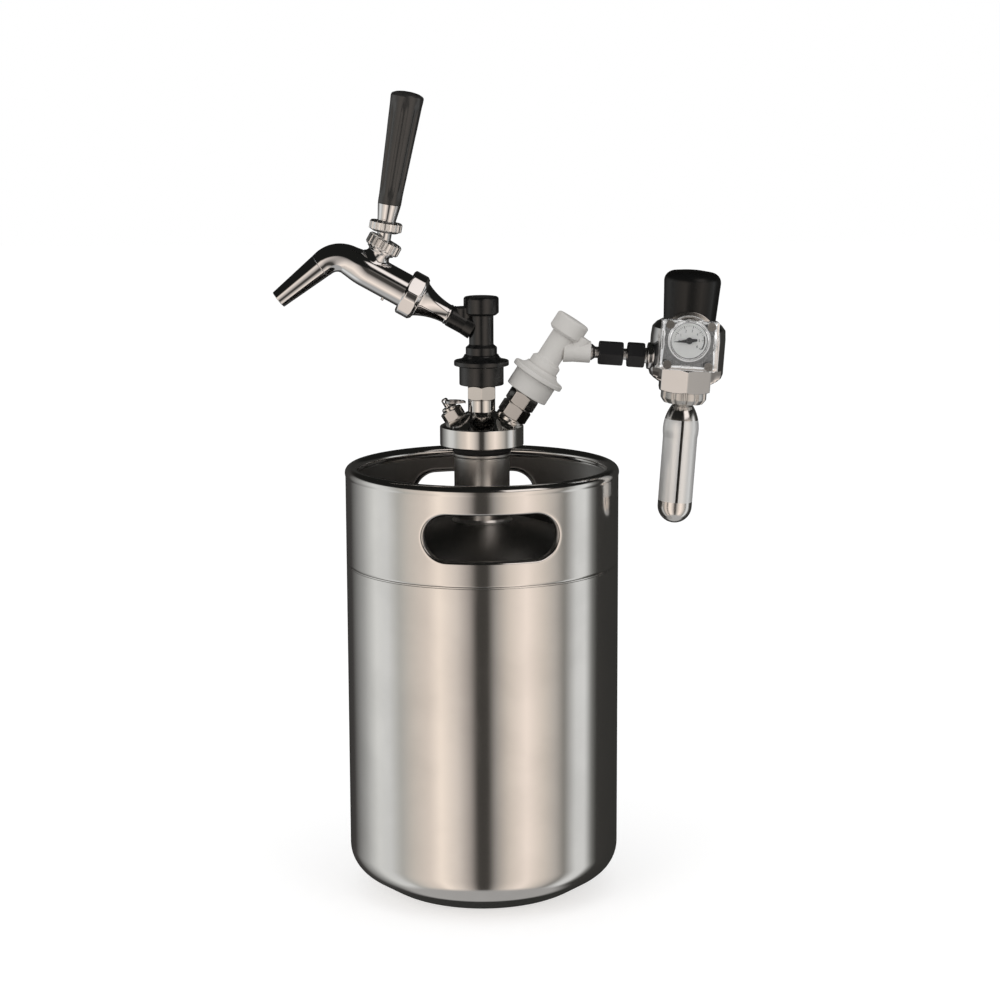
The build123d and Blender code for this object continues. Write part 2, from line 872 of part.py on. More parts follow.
# ================================================================ ball-lock disconnects
def disconnect(post_frame, name, arm_side):
    """All pieces of one disconnect on its post; arm_side is +1 or -1 along the frame's X axis."""
    frame = moved(post_frame, 0, post_hex_height + skirt_gap)
    arm = leant(moved(frame, 0, arm_height), arm_side * (90 - arm_rise))
    ball_row = post_frame.origin + frame.z_dir * (post_groove_low + post_groove_high) / 2
    crown_low = disconnect_height - cap_crown
    body_end = crown_low - running_gap
    plug_low = crown_low - cap_plug_length

    # Moulded body: socket over the post, shoulder for the collar's spring, shaft and arm.
    with BuildPart() as body:
        turn(
            frame,
            (0, socket_low),
            (socket_radius, socket_low),
            (socket_radius, spring_flange_low),
            (spring_flange_radius, spring_flange_low),
            (spring_flange_radius, collar_flange_high),
            (band_radius, collar_flange_high),
            (band_radius, band_high),
            (shaft_radius, shaft_edge_high),
            (shaft_radius, cap_full),
            (cap_thread_radius, cap_full),
            (cap_thread_radius, body_end),
            (0, body_end),
        )
        rod(arm, arm_radius, 0, arm_length)
        turn(
            frame,
            (cap_thread_radius, cap_low - running_gap),
            (cap_foot_radius + running_gap, cap_low - running_gap),
            (cap_radius + running_gap, cap_full - running_gap),
            (cap_radius + running_gap, disconnect_height),
            (cap_thread_radius, disconnect_height),
            mode=Mode.SUBTRACT,
        )
        turn(
            frame,
            (0, socket_low),
            (socket_bore, socket_low),
            (socket_bore, socket_bore_high),
            (throat_bore, throat_low),
            (throat_bore, throat_high),
            (0, throat_high),
            mode=Mode.SUBTRACT,
        )
        rod(frame, post_hole_radius, throat_high, chamber_low, mode=Mode.SUBTRACT)
        rod(frame, chamber_radius, chamber_low, body_end, mode=Mode.SUBTRACT)
        rod(arm, arm_port_radius, 0, arm_length, mode=Mode.SUBTRACT)
        rod(arm, arm_bore, arm_socket, arm_length, mode=Mode.SUBTRACT)
        for index in range(lock_ball_count):
            spoke = Plane(origin=ball_row, z_dir=around(frame, index, lock_ball_count))
            socket_ends = (socket_bore - overlap, socket_radius + overlap)
            rod(spoke, lock_ball_radius + fit_gap, *socket_ends, mode=Mode.SUBTRACT)
    keep(body, f"{name}_disconnect_body")

    # Cap screwed over the top of the body, with a plug for the valve spring.
    with BuildPart() as cap:
        turn(
            frame,
            (cap_thread_radius + fit_gap, cap_low),
            (cap_foot_radius, cap_low),
            (cap_radius, cap_full),
            (cap_radius, disconnect_height - cap_edge),
            (cap_radius - cap_edge, disconnect_height),
            (0, disconnect_height),
            (0, plug_low),
            (chamber_radius - fit_gap, plug_low),
            (chamber_radius - fit_gap, crown_low),
            (cap_thread_radius + fit_gap, crown_low),
        )
    keep(cap, f"{name}_disconnect_cap")

    # Sliding collar: pulled up against its spring, it lets the lock balls out.
    collar_foot = skirt_radius + collar_edge
    neck_edge = band_radius + running_gap + collar_edge
    with BuildPart() as collar:
        with BuildSketch(section(frame)) as half:
            with BuildLine():
                Polyline(
                    (collar_land_radius, collar_land_low), (collar_pocket_radius, 0),
                    (skirt_radius - skirt_edge, 0),
                )
                RadiusArc((skirt_radius - skirt_edge, 0), (skirt_radius, skirt_edge), -skirt_edge)
                Polyline(
                    (skirt_radius, skirt_edge), (skirt_radius, collar_flange_low),
                    (collar_flange_radius, collar_flange_low + collar_edge),
                    (collar_flange_radius, collar_flange_high - collar_edge),
                    (collar_flange_radius - collar_edge, collar_flange_high),
                    (collar_foot, collar_flange_high),
                )
                SagittaArc((collar_foot, collar_flange_high), (neck_edge, collar_high), collar_hollow)
                Polyline(
                    (neck_edge, collar_high), (band_radius + running_gap, collar_high),
                    (band_radius + running_gap, collar_flange_high + running_gap),
                    (collar_pocket_radius, collar_flange_high + running_gap),
                    (collar_pocket_radius, collar_land_high), (collar_land_radius, collar_land_high),
                    (collar_land_radius, collar_land_low),
                )
            make_face()
        revolve(half.sketch, axis=Axis(frame.origin, frame.z_dir))
    keep(collar, f"{name}_disconnect_collar")

    with BuildPart() as collar_spring:
        coil(
            frame, (socket_radius + collar_pocket_radius) / 2, collar_spring_wire,
            collar_land_high + fit_gap, spring_flange_low - fit_gap, collar_spring_turns,
        )
    keep(collar_spring, f"{name}_disconnect_collar_spring")

    # Three steel balls in the wall of the socket, held in the post's groove.
    with BuildPart() as lock_balls:
        ball_place = post_groove_radius + lock_ball_radius + fit_gap
        for index in range(lock_ball_count):
            with Locations(ball_row + around(frame, index, lock_ball_count) * ball_place):
                Sphere(lock_ball_radius)
    keep(lock_balls, f"{name}_disconnect_lock_balls")

    # Valve plunger: its pin pushes the post's poppet open.
    pin_low = poppet_pin - post_hex_height - skirt_gap + fit_gap
    head_low = chamber_low + valve_lift
    head_high = head_low + valve_head_height
    with BuildPart() as plunger:
        turn(
            frame,
            (0, pin_low),
            (valve_stem_radius, pin_low),
            (valve_stem_radius, head_low),
            (valve_head_radius, head_low + valve_head_edge),
            (valve_head_radius, head_high),
            (valve_stem_radius, head_high),
            (valve_stem_radius, head_high + plunger_guide),
            (0, head_high + plunger_guide),
        )
    keep(plunger, f"{name}_disconnect_plunger")
    with BuildPart() as plunger_spring:
        coil(
            frame, valve_spring_radius, valve_spring_wire, head_high + fit_gap,
            plug_low - fit_gap, 2 * valve_spring_turns,
        )
    keep(plunger_spring, f"{name}_disconnect_plunger_spring")
    return arm


tap_line = disconnect(liquid_post_frame, "liquid", -1)
gas_line = disconnect(gas_post_frame, "gas", 1)

# ================================================================ faucet
tap_nut_end = tap_nut_start + tap_nut_length
tap_lip_start = tap_nut_end - tap_nut_lip
tap_tail_end = tap_shank_end + tap_flange
bend_side = tap_bend_radius * (cos(radians(tap_bend_turn)) - 1)
bend_run = tap_bend_radius * sin(radians(tap_bend_turn))
bend_frame = moved(tap_line, 0, tap_bend_start)
spout_frame = leant(moved(tap_line, bend_side, tap_bend_start + bend_run), -tap_bend_turn)
lever_frame = moved(leant(moved(tap_line, 0, lever_place), 90), 0, lever_pivot)
handle_frame = leant(lever_frame, -lever_tilt)

# Adapter: its tail is screwed into the disconnect's arm, its shank carries the faucet.
with BuildPart() as tap_adapter:
    bead_end = arm_length + adapter_bead_width
    with BuildSketch(section(tap_line)) as half:
        with BuildLine():
            Polyline(
                (tap_shank_radius, tap_shank_start), (tap_shank_radius, tap_shank_end),
                (adapter_passage, tap_shank_end), (adapter_passage, arm_socket + tail_gap),
                (adapter_tail_radius, arm_socket + tail_gap), (adapter_tail_radius, arm_length),
                (adapter_bead_radius, arm_length), (adapter_bead_radius, bead_end),
                (adapter_small_radius, bead_end),
            )
            SagittaArc(
                (adapter_small_radius, bead_end), (adapter_full_radius, tap_shank_start), adapter_hollow,
            )
            Line((adapter_full_radius, tap_shank_start), (tap_shank_radius, tap_shank_start))
        make_face()
    revolve(half.sketch, axis=Axis(tap_line.origin, tap_line.z_dir))
keep(tap_adapter, "tap_adapter")

# Coupling nut: its lip pulls the faucet's tail flange against the adapter.
with BuildPart() as tap_nut:
    turn(
        tap_line,
        (tap_shank_radius + fit_gap, tap_nut_start),
        (tap_nut_radius - tap_nut_edge, tap_nut_start),
        (tap_nut_radius, tap_nut_start + tap_nut_edge),
        (tap_nut_radius, tap_nut_end - tap_nut_edge / 2),
        (tap_nut_radius - tap_nut_edge, tap_nut_end),
        (tap_radius + running_gap, tap_nut_end),
        (tap_radius + running_gap, tap_lip_start),
        (tap_shank_radius + fit_gap, tap_lip_start),
    )
    with BuildSketch(tap_line.offset(tap_nut_start)) as nut_flats:
        Circle(tap_nut_radius + overlap)
        RegularPolygon(
            tap_nut_radius - tap_flat_depth, tap_flat_count, major_radius=False, mode=Mode.SUBTRACT,
        )
    extrude(nut_flats.sketch, amount=tap_nut_length, mode=Mode.SUBTRACT)
keep(tap_nut, "tap_coupling_nut")

# Faucet body: straight barrel, bend down to the spout and neck up to the lever.
with BuildPart() as faucet_body:
    turn(
        tap_line,
        (0, tap_shank_end),
        (tap_shank_radius, tap_shank_end),
        (tap_shank_radius, tap_tail_end),
        (tap_radius, tap_tail_end),
        (tap_radius, tap_waist),
        (tap_bend_start_radius, tap_bend_start),
        (0, tap_bend_start),
    )
    with BuildLine() as bend_path:
        CenterArc((0, 0), tap_bend_radius, 0, tap_bend_turn)
    bend_line = Plane(
        origin=bend_frame.origin - bend_frame.x_dir * tap_bend_radius,
        x_dir=bend_frame.x_dir, z_dir=-bend_frame.y_dir,
    ).from_local_coords(bend_path.line)
    with BuildSketch(bend_frame) as bend_start:
        Circle(tap_bend_start_radius)
    with BuildSketch(spout_frame) as bend_end:
        Circle(tap_bend_end_radius)
    sweep(
        sections=[bend_start.sketch.faces()[0], bend_end.sketch.faces()[0]],
        path=bend_line, multisection=True,
    )
    turn(
        spout_frame,
        (0, 0),
        (tap_bend_end_radius, 0),
        (tap_seam_radius, tap_seam_run),
        (0, tap_seam_run),
    )
    neck_low = moved(lever_frame, 0, -lever_pivot)
    turn(
        neck_low,
        (0, tap_bore),
        (bonnet_neck_radius + neck_flare, tap_bore),
        (bonnet_neck_radius, tap_radius + neck_flare),
        (bonnet_neck_radius, bonnet_thread_low - bonnet_edge),
        (bonnet_thread_radius, bonnet_thread_low),
        (bonnet_thread_radius, lever_pivot),
        (0, lever_pivot),
    )
    tap_pin_frame = leant(moved(tap_line, 0, tap_pin_place), -90)
    rod(tap_pin_frame, tap_pin_radius, tap_bore + overlap, tap_radius + tap_pin_proud)
    turn(
        tap_line,
        (0, tap_shank_end),
        (tap_bore, tap_shank_end),
        (tap_bore, tap_bend_start),
        (tap_passage, tap_bend_start + valve_seat_length),
        (0, tap_bend_start + valve_seat_length),
        mode=Mode.SUBTRACT,
    )
    with BuildSketch(bend_frame) as passage:
        Circle(tap_passage)
    sweep(passage.sketch, path=bend_line, mode=Mode.SUBTRACT)
    rod(spout_frame, tap_passage, 0, tap_seam_run, mode=Mode.SUBTRACT)
    rod(
        spout_frame, spout_spigot_radius + fit_gap, tap_seam_run - spout_spigot_length - running_gap,
        tap_seam_run, mode=Mode.SUBTRACT,
    )
    rod(neck_low, throat_radius, 0, lever_pivot, mode=Mode.SUBTRACT)
    with Locations(lever_frame.origin):
        Sphere(ball_radius + running_gap, mode=Mode.SUBTRACT)
keep(faucet_body, "faucet_body")

with BuildPart() as faucet_spout:
    spout_end = tap_seam_run + spout_length
    turn(
        spout_frame,
        (tap_passage, tap_seam_run - spout_spigot_length),
        (spout_spigot_radius, tap_seam_run - spout_spigot_length),
        (spout_spigot_radius, tap_seam_run),
        (tap_seam_radius, tap_seam_run),
        (spout_tip_radius, spout_end),
        (spout_tip_bore, spout_end),
        (tap_passage, tap_seam_run + spout_spigot_length),
    )
keep(faucet_spout, "faucet_spout")


def scallop(frame, radius, low, high):
    """Grip grooves cut round a turned ring."""
    with BuildSketch(frame.offset(low)) as grooves:
        with PolarLocations(radius + scallop_radius - scallop_depth, scallop_count):
            Circle(scallop_radius)
    extrude(grooves.sketch, amount=high - low, mode=Mode.SUBTRACT)


# Bonnet nut: its lip, hollowed to the ball, holds the lever down in the neck.
with BuildPart() as bonnet_nut:
    nut_low = bonnet_low - lever_pivot
    nut_high = bonnet_high - lever_pivot
    mouth_slope = tan(radians(lever_tilt))
    seat_radius = ball_radius + running_gap
    flare = 1 + mouth_slope ** 2
    lip_height = (sqrt(seat_radius ** 2 * flare - bonnet_mouth ** 2) - bonnet_mouth * mouth_slope) / flare
    lip_radius = bonnet_mouth + lip_height * mouth_slope
    with BuildSketch(section(lever_frame)) as half:
        with BuildLine():
            CenterArc((0, 0), seat_radius, 0, degrees(atan2(lip_height, lip_radius)))
            Polyline(
                (lip_radius, lip_height), (bonnet_mouth + nut_high * mouth_slope, nut_high),
                (bonnet_radius - bonnet_edge, nut_high), (bonnet_radius, nut_high - bonnet_edge),
                (bonnet_radius, nut_low + bonnet_edge), (bonnet_radius - bonnet_edge, nut_low),
                (bonnet_thread_radius + fit_gap, nut_low), (bonnet_thread_radius + fit_gap, 0),
                (seat_radius, 0),
            )
        make_face()
    revolve(half.sketch, axis=Axis(lever_frame.origin, lever_frame.z_dir))
    scallop(lever_frame, bonnet_radius, nut_low, nut_high)
keep(bonnet_nut, "bonnet_nut")

# Lever: ball, finger down into the shuttle and threaded stem for the handle.
with BuildPart() as lever:
    with Locations(lever_frame.origin):
        Sphere(ball_radius)
    rod(handle_frame, lever_stem_radius, 0, lever_stem_high)
    rod(handle_frame, lever_thread_radius, 0, lever_thread_high)
    rod(handle_frame, finger_radius, -finger_reach, 0)
keep(lever, "lever")

with BuildPart() as lever_ring:
    turn(
        handle_frame,
        (lever_thread_radius + fit_gap, lever_stem_high),
        (lever_ring_low_radius, lever_stem_high),
        (lever_ring_radius, lever_stem_high + lever_ring_rise),
        (lever_ring_radius, lever_ring_high - bonnet_edge),
        (lever_ring_radius - bonnet_edge, lever_ring_high),
        (lever_thread_radius + fit_gap, lever_ring_high),
    )
    scallop(handle_frame, lever_ring_radius, lever_stem_high, lever_ring_high)
keep(lever_ring, "lever_ring")

with BuildPart() as handle_ferrule:
    turn(
        handle_frame,
        (lever_thread_radius + fit_gap, lever_ring_high),
        (ferrule_low_radius, lever_ring_high),
        (ferrule_low_radius, lever_ring_high + ferrule_foot),
        (handle_low_radius, ferrule_high),
        (lever_thread_radius + fit_gap, ferrule_high),
    )
keep(handle_ferrule, "handle_ferrule")

# Handle: tapered, fluted and domed, screwed onto the lever.
with BuildPart() as tap_handle:
    handle_side = handle_high_radius - handle_low_radius
    handle_slope = handle_side / (handle_high - ferrule_high)
    edge_low_radius = handle_high_radius - handle_edge * handle_slope
    with BuildSketch(section(handle_frame)) as half:
        with BuildLine():
            Polyline(
                (0, handle_high + handle_crown), (0, lever_thread_high + running_gap),
                (lever_thread_radius + fit_gap, lever_thread_high + running_gap),
                (lever_thread_radius + fit_gap, ferrule_high), (handle_low_radius, ferrule_high),
                (edge_low_radius, handle_high - handle_edge),
            )
            CenterArc((edge_low_radius - handle_edge, handle_high - handle_edge), handle_edge, 0, 90)
            crown(edge_low_radius - handle_edge, handle_high, handle_high + handle_crown)
        make_face()
    revolve(half.sketch, axis=Axis(handle_frame.origin, handle_frame.z_dir))
    flute_low = ferrule_high + flute_inset
    flute_length = handle_high - flute_inset - flute_low
    flute_place = handle_low_radius + flute_inset * handle_slope + flute_radius - flute_depth
    for index in range(flute_count):
        outward = around(handle_frame, index, flute_count)
        flute_line = handle_frame.z_dir + outward * handle_slope
        flute = Plane(
            origin=handle_frame.origin + handle_frame.z_dir * flute_low + outward * flute_place,
            x_dir=outward, z_dir=flute_line,
        )
        with BuildSketch(section(flute)) as capsule:
            with BuildLine():
                Line((0, -flute_radius), (0, flute_length + flute_radius))
                CenterArc((0, flute_length), flute_radius, 90, -90)
                Line((flute_radius, flute_length), (flute_radius, 0))
                CenterArc((0, 0), flute_radius, 0, -90)
            make_face()
        revolve(capsule.sketch, axis=Axis(flute.origin, flute.z_dir), mode=Mode.SUBTRACT)
keep(tap_handle, "tap_handle")

# Shuttle: slides in the barrel, moved by the lever's finger in its slot.
ring_place = shuttle_neck + shuttle_flange_height + shuttle_ring_wire / 2 + fit_gap
with BuildPart() as faucet_shuttle:
    nose_low = ring_place + shuttle_ring_wire / 2 + fit_gap
    turn(
        tap_line,
        (0, shuttle_low),
        (shuttle_radius, shuttle_low),
        (shuttle_radius, shuttle_neck),
        (shuttle_flange_radius, shuttle_neck),
        (shuttle_flange_radius, shuttle_neck + shuttle_flange_height),
        (shuttle_ring_radius - shuttle_ring_wire / 2, shuttle_neck + shuttle_flange_height),
        (shuttle_ring_radius - shuttle_ring_wire / 2, nose_low),
        (shuttle_nose_radius, nose_low),
        (shuttle_nose_radius - shuttle_nose_edge, nose_low + shuttle_flange_height),
        (0, nose_low + shuttle_flange_height),
    )
    with BuildSketch(tap_line.offset(shuttle_low)) as vanes:
        with Locations((0, 0, 0)):
            Rectangle(shuttle_vane_radius * 2 + overlap, shuttle_vane_width, rotation=45)
            Rectangle(shuttle_vane_radius * 2 + overlap, shuttle_vane_width, rotation=-45)
        Circle(shuttle_vane_radius, mode=Mode.INTERSECT)
    extrude(vanes.sketch, amount=shuttle_vane_length)
    with BuildSketch(leant(moved(tap_line, 0, shuttle_slot_place), 90)) as slot:
        Rectangle(shuttle_slot_length, shuttle_slot_width)
    extrude(slot.sketch, amount=shuttle_radius, both=True, mode=Mode.SUBTRACT)
keep(faucet_shuttle, "faucet_shuttle")

with BuildPart() as shuttle_o_ring:
    ring(tap_line, shuttle_ring_radius, shuttle_ring_wire / 2, ring_place)
keep(shuttle_o_ring, "shuttle_o_ring")

# ================================================================ gas line
port_face = regulator_reach - port_boss_reach
swivel_nut_end = swivel_nut_start + swivel_nut_length
outlet_nut_end = outlet_nut_start + outlet_nut_length

# Stem: screwed into the gas disconnect's arm, its flange held inside the swivel nut.
with BuildPart() as gas_stem:
    turn(
        gas_line,
        (stem_bore, arm_socket + tail_gap),
        (stem_radius, arm_socket + tail_gap),
        (stem_radius, arm_length),
        (stem_shoulder_radius, arm_length),
        (stem_shoulder_radius, arm_length + stem_shoulder_width / 2),
        (stem_radius, arm_length + stem_shoulder_width * 2),
        (stem_radius, stem_end - stem_flange_width),
        (stem_flange_radius, stem_end - stem_flange_width),
        (stem_flange_radius, stem_end),
        (stem_bore, stem_end),
    )
keep(gas_stem, "gas_stem")

with BuildPart() as gas_swivel_nut:
    hexagon(gas_line, swivel_nut_hex, swivel_nut_start, swivel_nut_end, nut_edge)
    rod(gas_line, stem_radius + fit_gap, swivel_nut_start, swivel_nut_end, mode=Mode.SUBTRACT)
    rod(
        gas_line, stem_flange_radius + fit_gap, stem_end - stem_flange_width, swivel_nut_end,
        mode=Mode.SUBTRACT,
    )
keep(gas_swivel_nut, "gas_swivel_nut")

# Outlet stem of the regulator, reaching back into the swivel nut.
with BuildPart() as regulator_outlet_stem:
    turn(
        gas_line,
        (stem_bore, stem_end),
        (stem_flange_radius, stem_end),
        (stem_flange_radius, swivel_nut_end),
        (outlet_neck_radius, swivel_nut_end),
        (outlet_neck_radius, port_face + outlet_port_depth),
        (stem_bore, port_face + outlet_port_depth),
    )
keep(regulator_outlet_stem, "regulator_outlet_stem")

with BuildPart() as regulator_outlet_nut:
    hexagon(gas_line, outlet_nut_hex, outlet_nut_start, outlet_nut_end, nut_edge)
    rod(gas_line, outlet_collar_radius, outlet_nut_start, port_face)
    rod(gas_line, outlet_neck_radius + fit_gap, outlet_nut_start, port_face, mode=Mode.SUBTRACT)
keep(regulator_outlet_nut, "regulator_outlet_nut")

# ================================================================ regulator
regulator = moved(leant(moved(gas_line, 0, regulator_reach), -90), 0, port_drop)
port_frame = leant(moved(regulator, 0, -port_drop), -90)
gauge = Plane(
    origin=regulator.origin + regulator.x_dir * gauge_shift,
    x_dir=regulator.x_dir, z_dir=(0, -1, 0),
)
diaphragm_high = spring_room_floor + diaphragm_height
gauge_face = body_front + gauge_back
dial_face = gauge_face + dial_thickness
plate_back = gauge_face + fit_gap
plate_front = plate_back + plate_depth
screw_tip = plate_front - screw_head_height - screw_grip - gauge_back


def screw_holes(radius, low, high, mode=Mode.SUBTRACT):
    """Bars at the gauge's four screws, between two distances in front of the regulator's axis."""
    with BuildSketch(gauge.offset(low)) as discs:
        with Locations((0, -plate_drop)):
            with GridLocations(screw_span_x, screw_span_y, 2, 2):
                Circle(radius)
    extrude(discs.sketch, amount=high - low, mode=mode)


with BuildPart() as regulator_body:
    turn(
        regulator,
        (0, socket_top),
        (barrel_radius, socket_top),
        (body_foot_radius, body_foot_low),
        (body_flare_radius, body_flare_low),
        (body_radius, body_low),
        (body_radius, 0),
        (body_shoulder_radius, body_shoulder),
        (body_neck_radius, body_neck_high),
        (body_top_radius, body_top),
        (0, body_top),
    )
    with BuildSketch(gauge.offset(body_front)) as front:
        Rectangle(body_radius * 3, body_radius * 6)
    extrude(front.sketch, amount=body_radius, mode=Mode.SUBTRACT)
    rod(regulator, barrel_radius, socket_top, body_low)
    rod(port_frame, port_boss_radius, 0, port_boss_reach)
    rod(regulator, spring_room_radius, spring_room_floor, body_top, mode=Mode.SUBTRACT)
    rod(
        port_frame, outlet_neck_radius + fit_gap, port_boss_reach - outlet_port_depth, port_boss_reach,
        mode=Mode.SUBTRACT,
    )
    rod(port_frame, port_drill, port_rise, port_boss_reach, mode=Mode.SUBTRACT)
    rod(moved(regulator, -port_rise, -port_drop), port_drill - fit_gap, 0, port_drop, mode=Mode.SUBTRACT)
    rod(
        regulator, socket_thread_radius + fit_gap, socket_top, socket_top + socket_thread_length + fit_gap,
        mode=Mode.SUBTRACT,
    )
    rod(regulator, inlet_radius, socket_top, inlet_high, mode=Mode.SUBTRACT)
    rod(regulator, regulator_seat_radius, inlet_high, spring_room_floor, mode=Mode.SUBTRACT)
    screw_holes(screw_radius + fit_gap, screw_tip, body_front)
keep(regulator_body, "regulator_body")

# Cartridge socket: hexagon screwed under the body, slotted ring and threaded bore.
socket_thread_top = socket_top + socket_thread_length
pierce_head = socket_thread_top - pierce_head_height
with BuildPart() as cartridge_socket:
    hexagon(regulator, socket_hex, socket_top - socket_hex_height, socket_top, socket_hex_edge)
    turn(
        regulator,
        (0, cartridge_socket_low),
        (socket_ring_low_radius, cartridge_socket_low),
        (socket_ring_radius, cartridge_socket_low + socket_ring_edge),
        (socket_ring_radius, socket_top - socket_hex_height),
        (0, socket_top - socket_hex_height),
    )
    rod(regulator, socket_thread_radius, socket_top, socket_thread_top)
    rod(
        regulator, cartridge_thread_radius + fit_gap, cartridge_socket_low, cartridge_top,
        mode=Mode.SUBTRACT,
    )
    rod(
        regulator, socket_recess_radius, cartridge_socket_low, cartridge_socket_low + socket_recess_depth,
        mode=Mode.SUBTRACT,
    )
    rod(regulator, pierce_radius + fit_gap, cartridge_socket_low, pierce_head, mode=Mode.SUBTRACT)
    rod(regulator, pierce_head_radius + fit_gap, pierce_head, socket_thread_top, mode=Mode.SUBTRACT)
    with BuildSketch(regulator.offset(cartridge_socket_low)) as socket_slots:
        with PolarLocations(socket_ring_low_radius + socket_slot_radius, socket_slot_count):
            Circle(socket_slot_radius)
    extrude(socket_slots.sketch, amount=-socket_top - cartridge_socket_low, mode=Mode.SUBTRACT)
keep(cartridge_socket, "cartridge_socket")

# Hollow pin that pierces the cartridge.
with BuildPart() as pierce_pin:
    turn(
        regulator,
        (pierce_bore, cartridge_top - pierce_reach + pierce_radius),
        (pierce_bore + fit_gap * 2, cartridge_top - pierce_reach),
        (pierce_radius, cartridge_top - pierce_reach + pierce_radius * 2),
        (pierce_radius, pierce_head),
        (pierce_head_radius, pierce_head),
        (pierce_head_radius, socket_thread_top),
        (pierce_bore, socket_thread_top),
    )
keep(pierce_pin, "pierce_pin")

with BuildPart() as regulator_diaphragm:
    rod(regulator, spring_room_radius - fit_gap, spring_room_floor, diaphragm_high)
keep(regulator_diaphragm, "regulator_diaphragm")

# Bonnet: clamps the diaphragm and guides the spring cap.
with BuildPart() as regulator_bonnet:
    turn(
        regulator,
        (bonnet_tube_bore, diaphragm_high),
        (spring_room_radius - fit_gap, diaphragm_high),
        (spring_room_radius - fit_gap, bonnet_flange_high),
        (bonnet_tube_radius, bonnet_flange_high),
        (bonnet_tube_radius, bonnet_tube_high),
        (bonnet_tube_bore, bonnet_tube_high),
    )
keep(regulator_bonnet, "regulator_bonnet")

with BuildPart() as regulator_spring:
    coil(
        regulator, regulator_spring_radius, regulator_spring_wire, diaphragm_high + fit_gap,
        spring_cap_top - spring_cap_height - fit_gap, regulator_spring_turns,
    )
keep(regulator_spring, "regulator_spring")

with BuildPart() as regulator_spring_cap:
    turn(
        regulator,
        (0, spring_cap_top - spring_cap_height),
        (spring_cap_radius, spring_cap_top - spring_cap_height),
        (spring_cap_radius, spring_cap_top),
        (spring_cap_stem_radius, spring_cap_top),
        (spring_cap_stem_radius, spring_cap_stem_high),
        (0, spring_cap_stem_high),
    )
keep(regulator_spring_cap, "regulator_spring_cap")

# Adjusting knob: hollow, fluted, with a threaded boss on the spring cap's stem.
with BuildPart() as regulator_knob:
    with BuildSketch(section(regulator)) as half:
        with BuildLine():
            Polyline(
                (0, knob_roof), (knob_bore, knob_roof), (knob_bore, knob_foot),
                (knob_low_radius, knob_foot), (knob_high_radius, knob_high),
            )
            CenterArc((knob_high_radius - knob_edge, knob_high), knob_edge, 0, 90)
            crown(knob_high_radius - knob_edge, knob_high + knob_edge, knob_top)
            Line((0, knob_top), (0, knob_roof))
        make_face()
    revolve(half.sketch, axis=Axis(regulator.origin, regulator.z_dir))
    rod(regulator, knob_boss_radius, knob_boss_low, knob_roof)
    rod(regulator, spring_cap_stem_radius + running_gap, knob_boss_low, knob_roof, mode=Mode.SUBTRACT)
keep(regulator_knob, "regulator_knob")

# ================================================================ pressure gauge
knob_taper = (knob_high_radius - knob_low_radius) / (knob_high - knob_foot)
knob_room = knob_low_radius + knob_taper * (gauge_ring_radius - knob_foot) + running_gap
with BuildPart() as gauge_housing:
    with BuildSketch(gauge.offset(body_front)):
        Circle(gauge_ring_radius)
        with Locations((0, -plate_drop)):
            RectangleRounded(plate_width, plate_height, plate_corner)
    extrude(amount=gauge_back)
    rod(regulator, knob_room, knob_foot - plate_gap, knob_high, mode=Mode.SUBTRACT)
    screw_holes(screw_radius + fit_gap, body_front, gauge_face)
keep(gauge_housing, "gauge_housing")

with BuildPart() as gauge_dial:
    rod(gauge, dial_radius, gauge_face, dial_face)
    rod(gauge, needle_pin_radius + running_gap, gauge_face, dial_face, mode=Mode.SUBTRACT)
keep(gauge_dial, "gauge_dial")

with BuildPart() as gauge_needle:
    needle_back = dial_face + needle_lift
    rod(gauge, needle_pin_radius, gauge_face, needle_back)
    rod(gauge, needle_hub_radius, needle_back, needle_back + needle_thickness * 2)
    with BuildSketch(gauge.offset(needle_back)) as blade:
        with BuildLine():
            Polyline(
                (needle_length, 0), (0, needle_width), (-needle_tail, needle_width / 2),
                (-needle_tail, -needle_width / 2), (0, -needle_width), close=True,
            )
        make_face()
    turned_blade = blade.sketch.rotate(Axis(gauge.origin, gauge.z_dir), needle_rest_turn)
    extrude(turned_blade, amount=needle_thickness)
keep(gauge_needle, "gauge_needle")

# Clear window: a block with a round room for the dial and the needle behind it.
with BuildPart() as gauge_window:
    with BuildSketch(gauge.offset(plate_back)):
        with Locations((0, -plate_drop)):
            RectangleRounded(plate_width, plate_height, plate_corner)
    extrude(amount=plate_depth)
    rod(gauge, dial_pocket_radius, plate_back, gauge_face + dial_pocket_depth, mode=Mode.SUBTRACT)
    screw_holes(screw_radius + fit_gap, plate_back, plate_front)
    screw_holes(screw_head_radius + running_gap, plate_front - screw_head_height, plate_front)
keep(gauge_window, "gauge_window")

with BuildPart() as gauge_screws:
    screw_holes(screw_radius, screw_tip + running_gap, plate_front - screw_head_height, mode=Mode.ADD)
    screw_holes(screw_head_radius, plate_front - screw_head_height, plate_front, mode=Mode.ADD)
    with BuildSketch(gauge.offset(plate_front)) as screw_slots:
        with Locations((0, -plate_drop)):
            with GridLocations(screw_span_x, screw_span_y, 2, 2):
                Rectangle(screw_slot_length, screw_slot_width, rotation=screw_turn)
                Rectangle(screw_slot_length, screw_slot_width, rotation=screw_turn + 90)
    extrude(screw_slots.sketch, amount=-screw_head_height / 2, mode=Mode.SUBTRACT)
keep(gauge_screws, "gauge_screws")

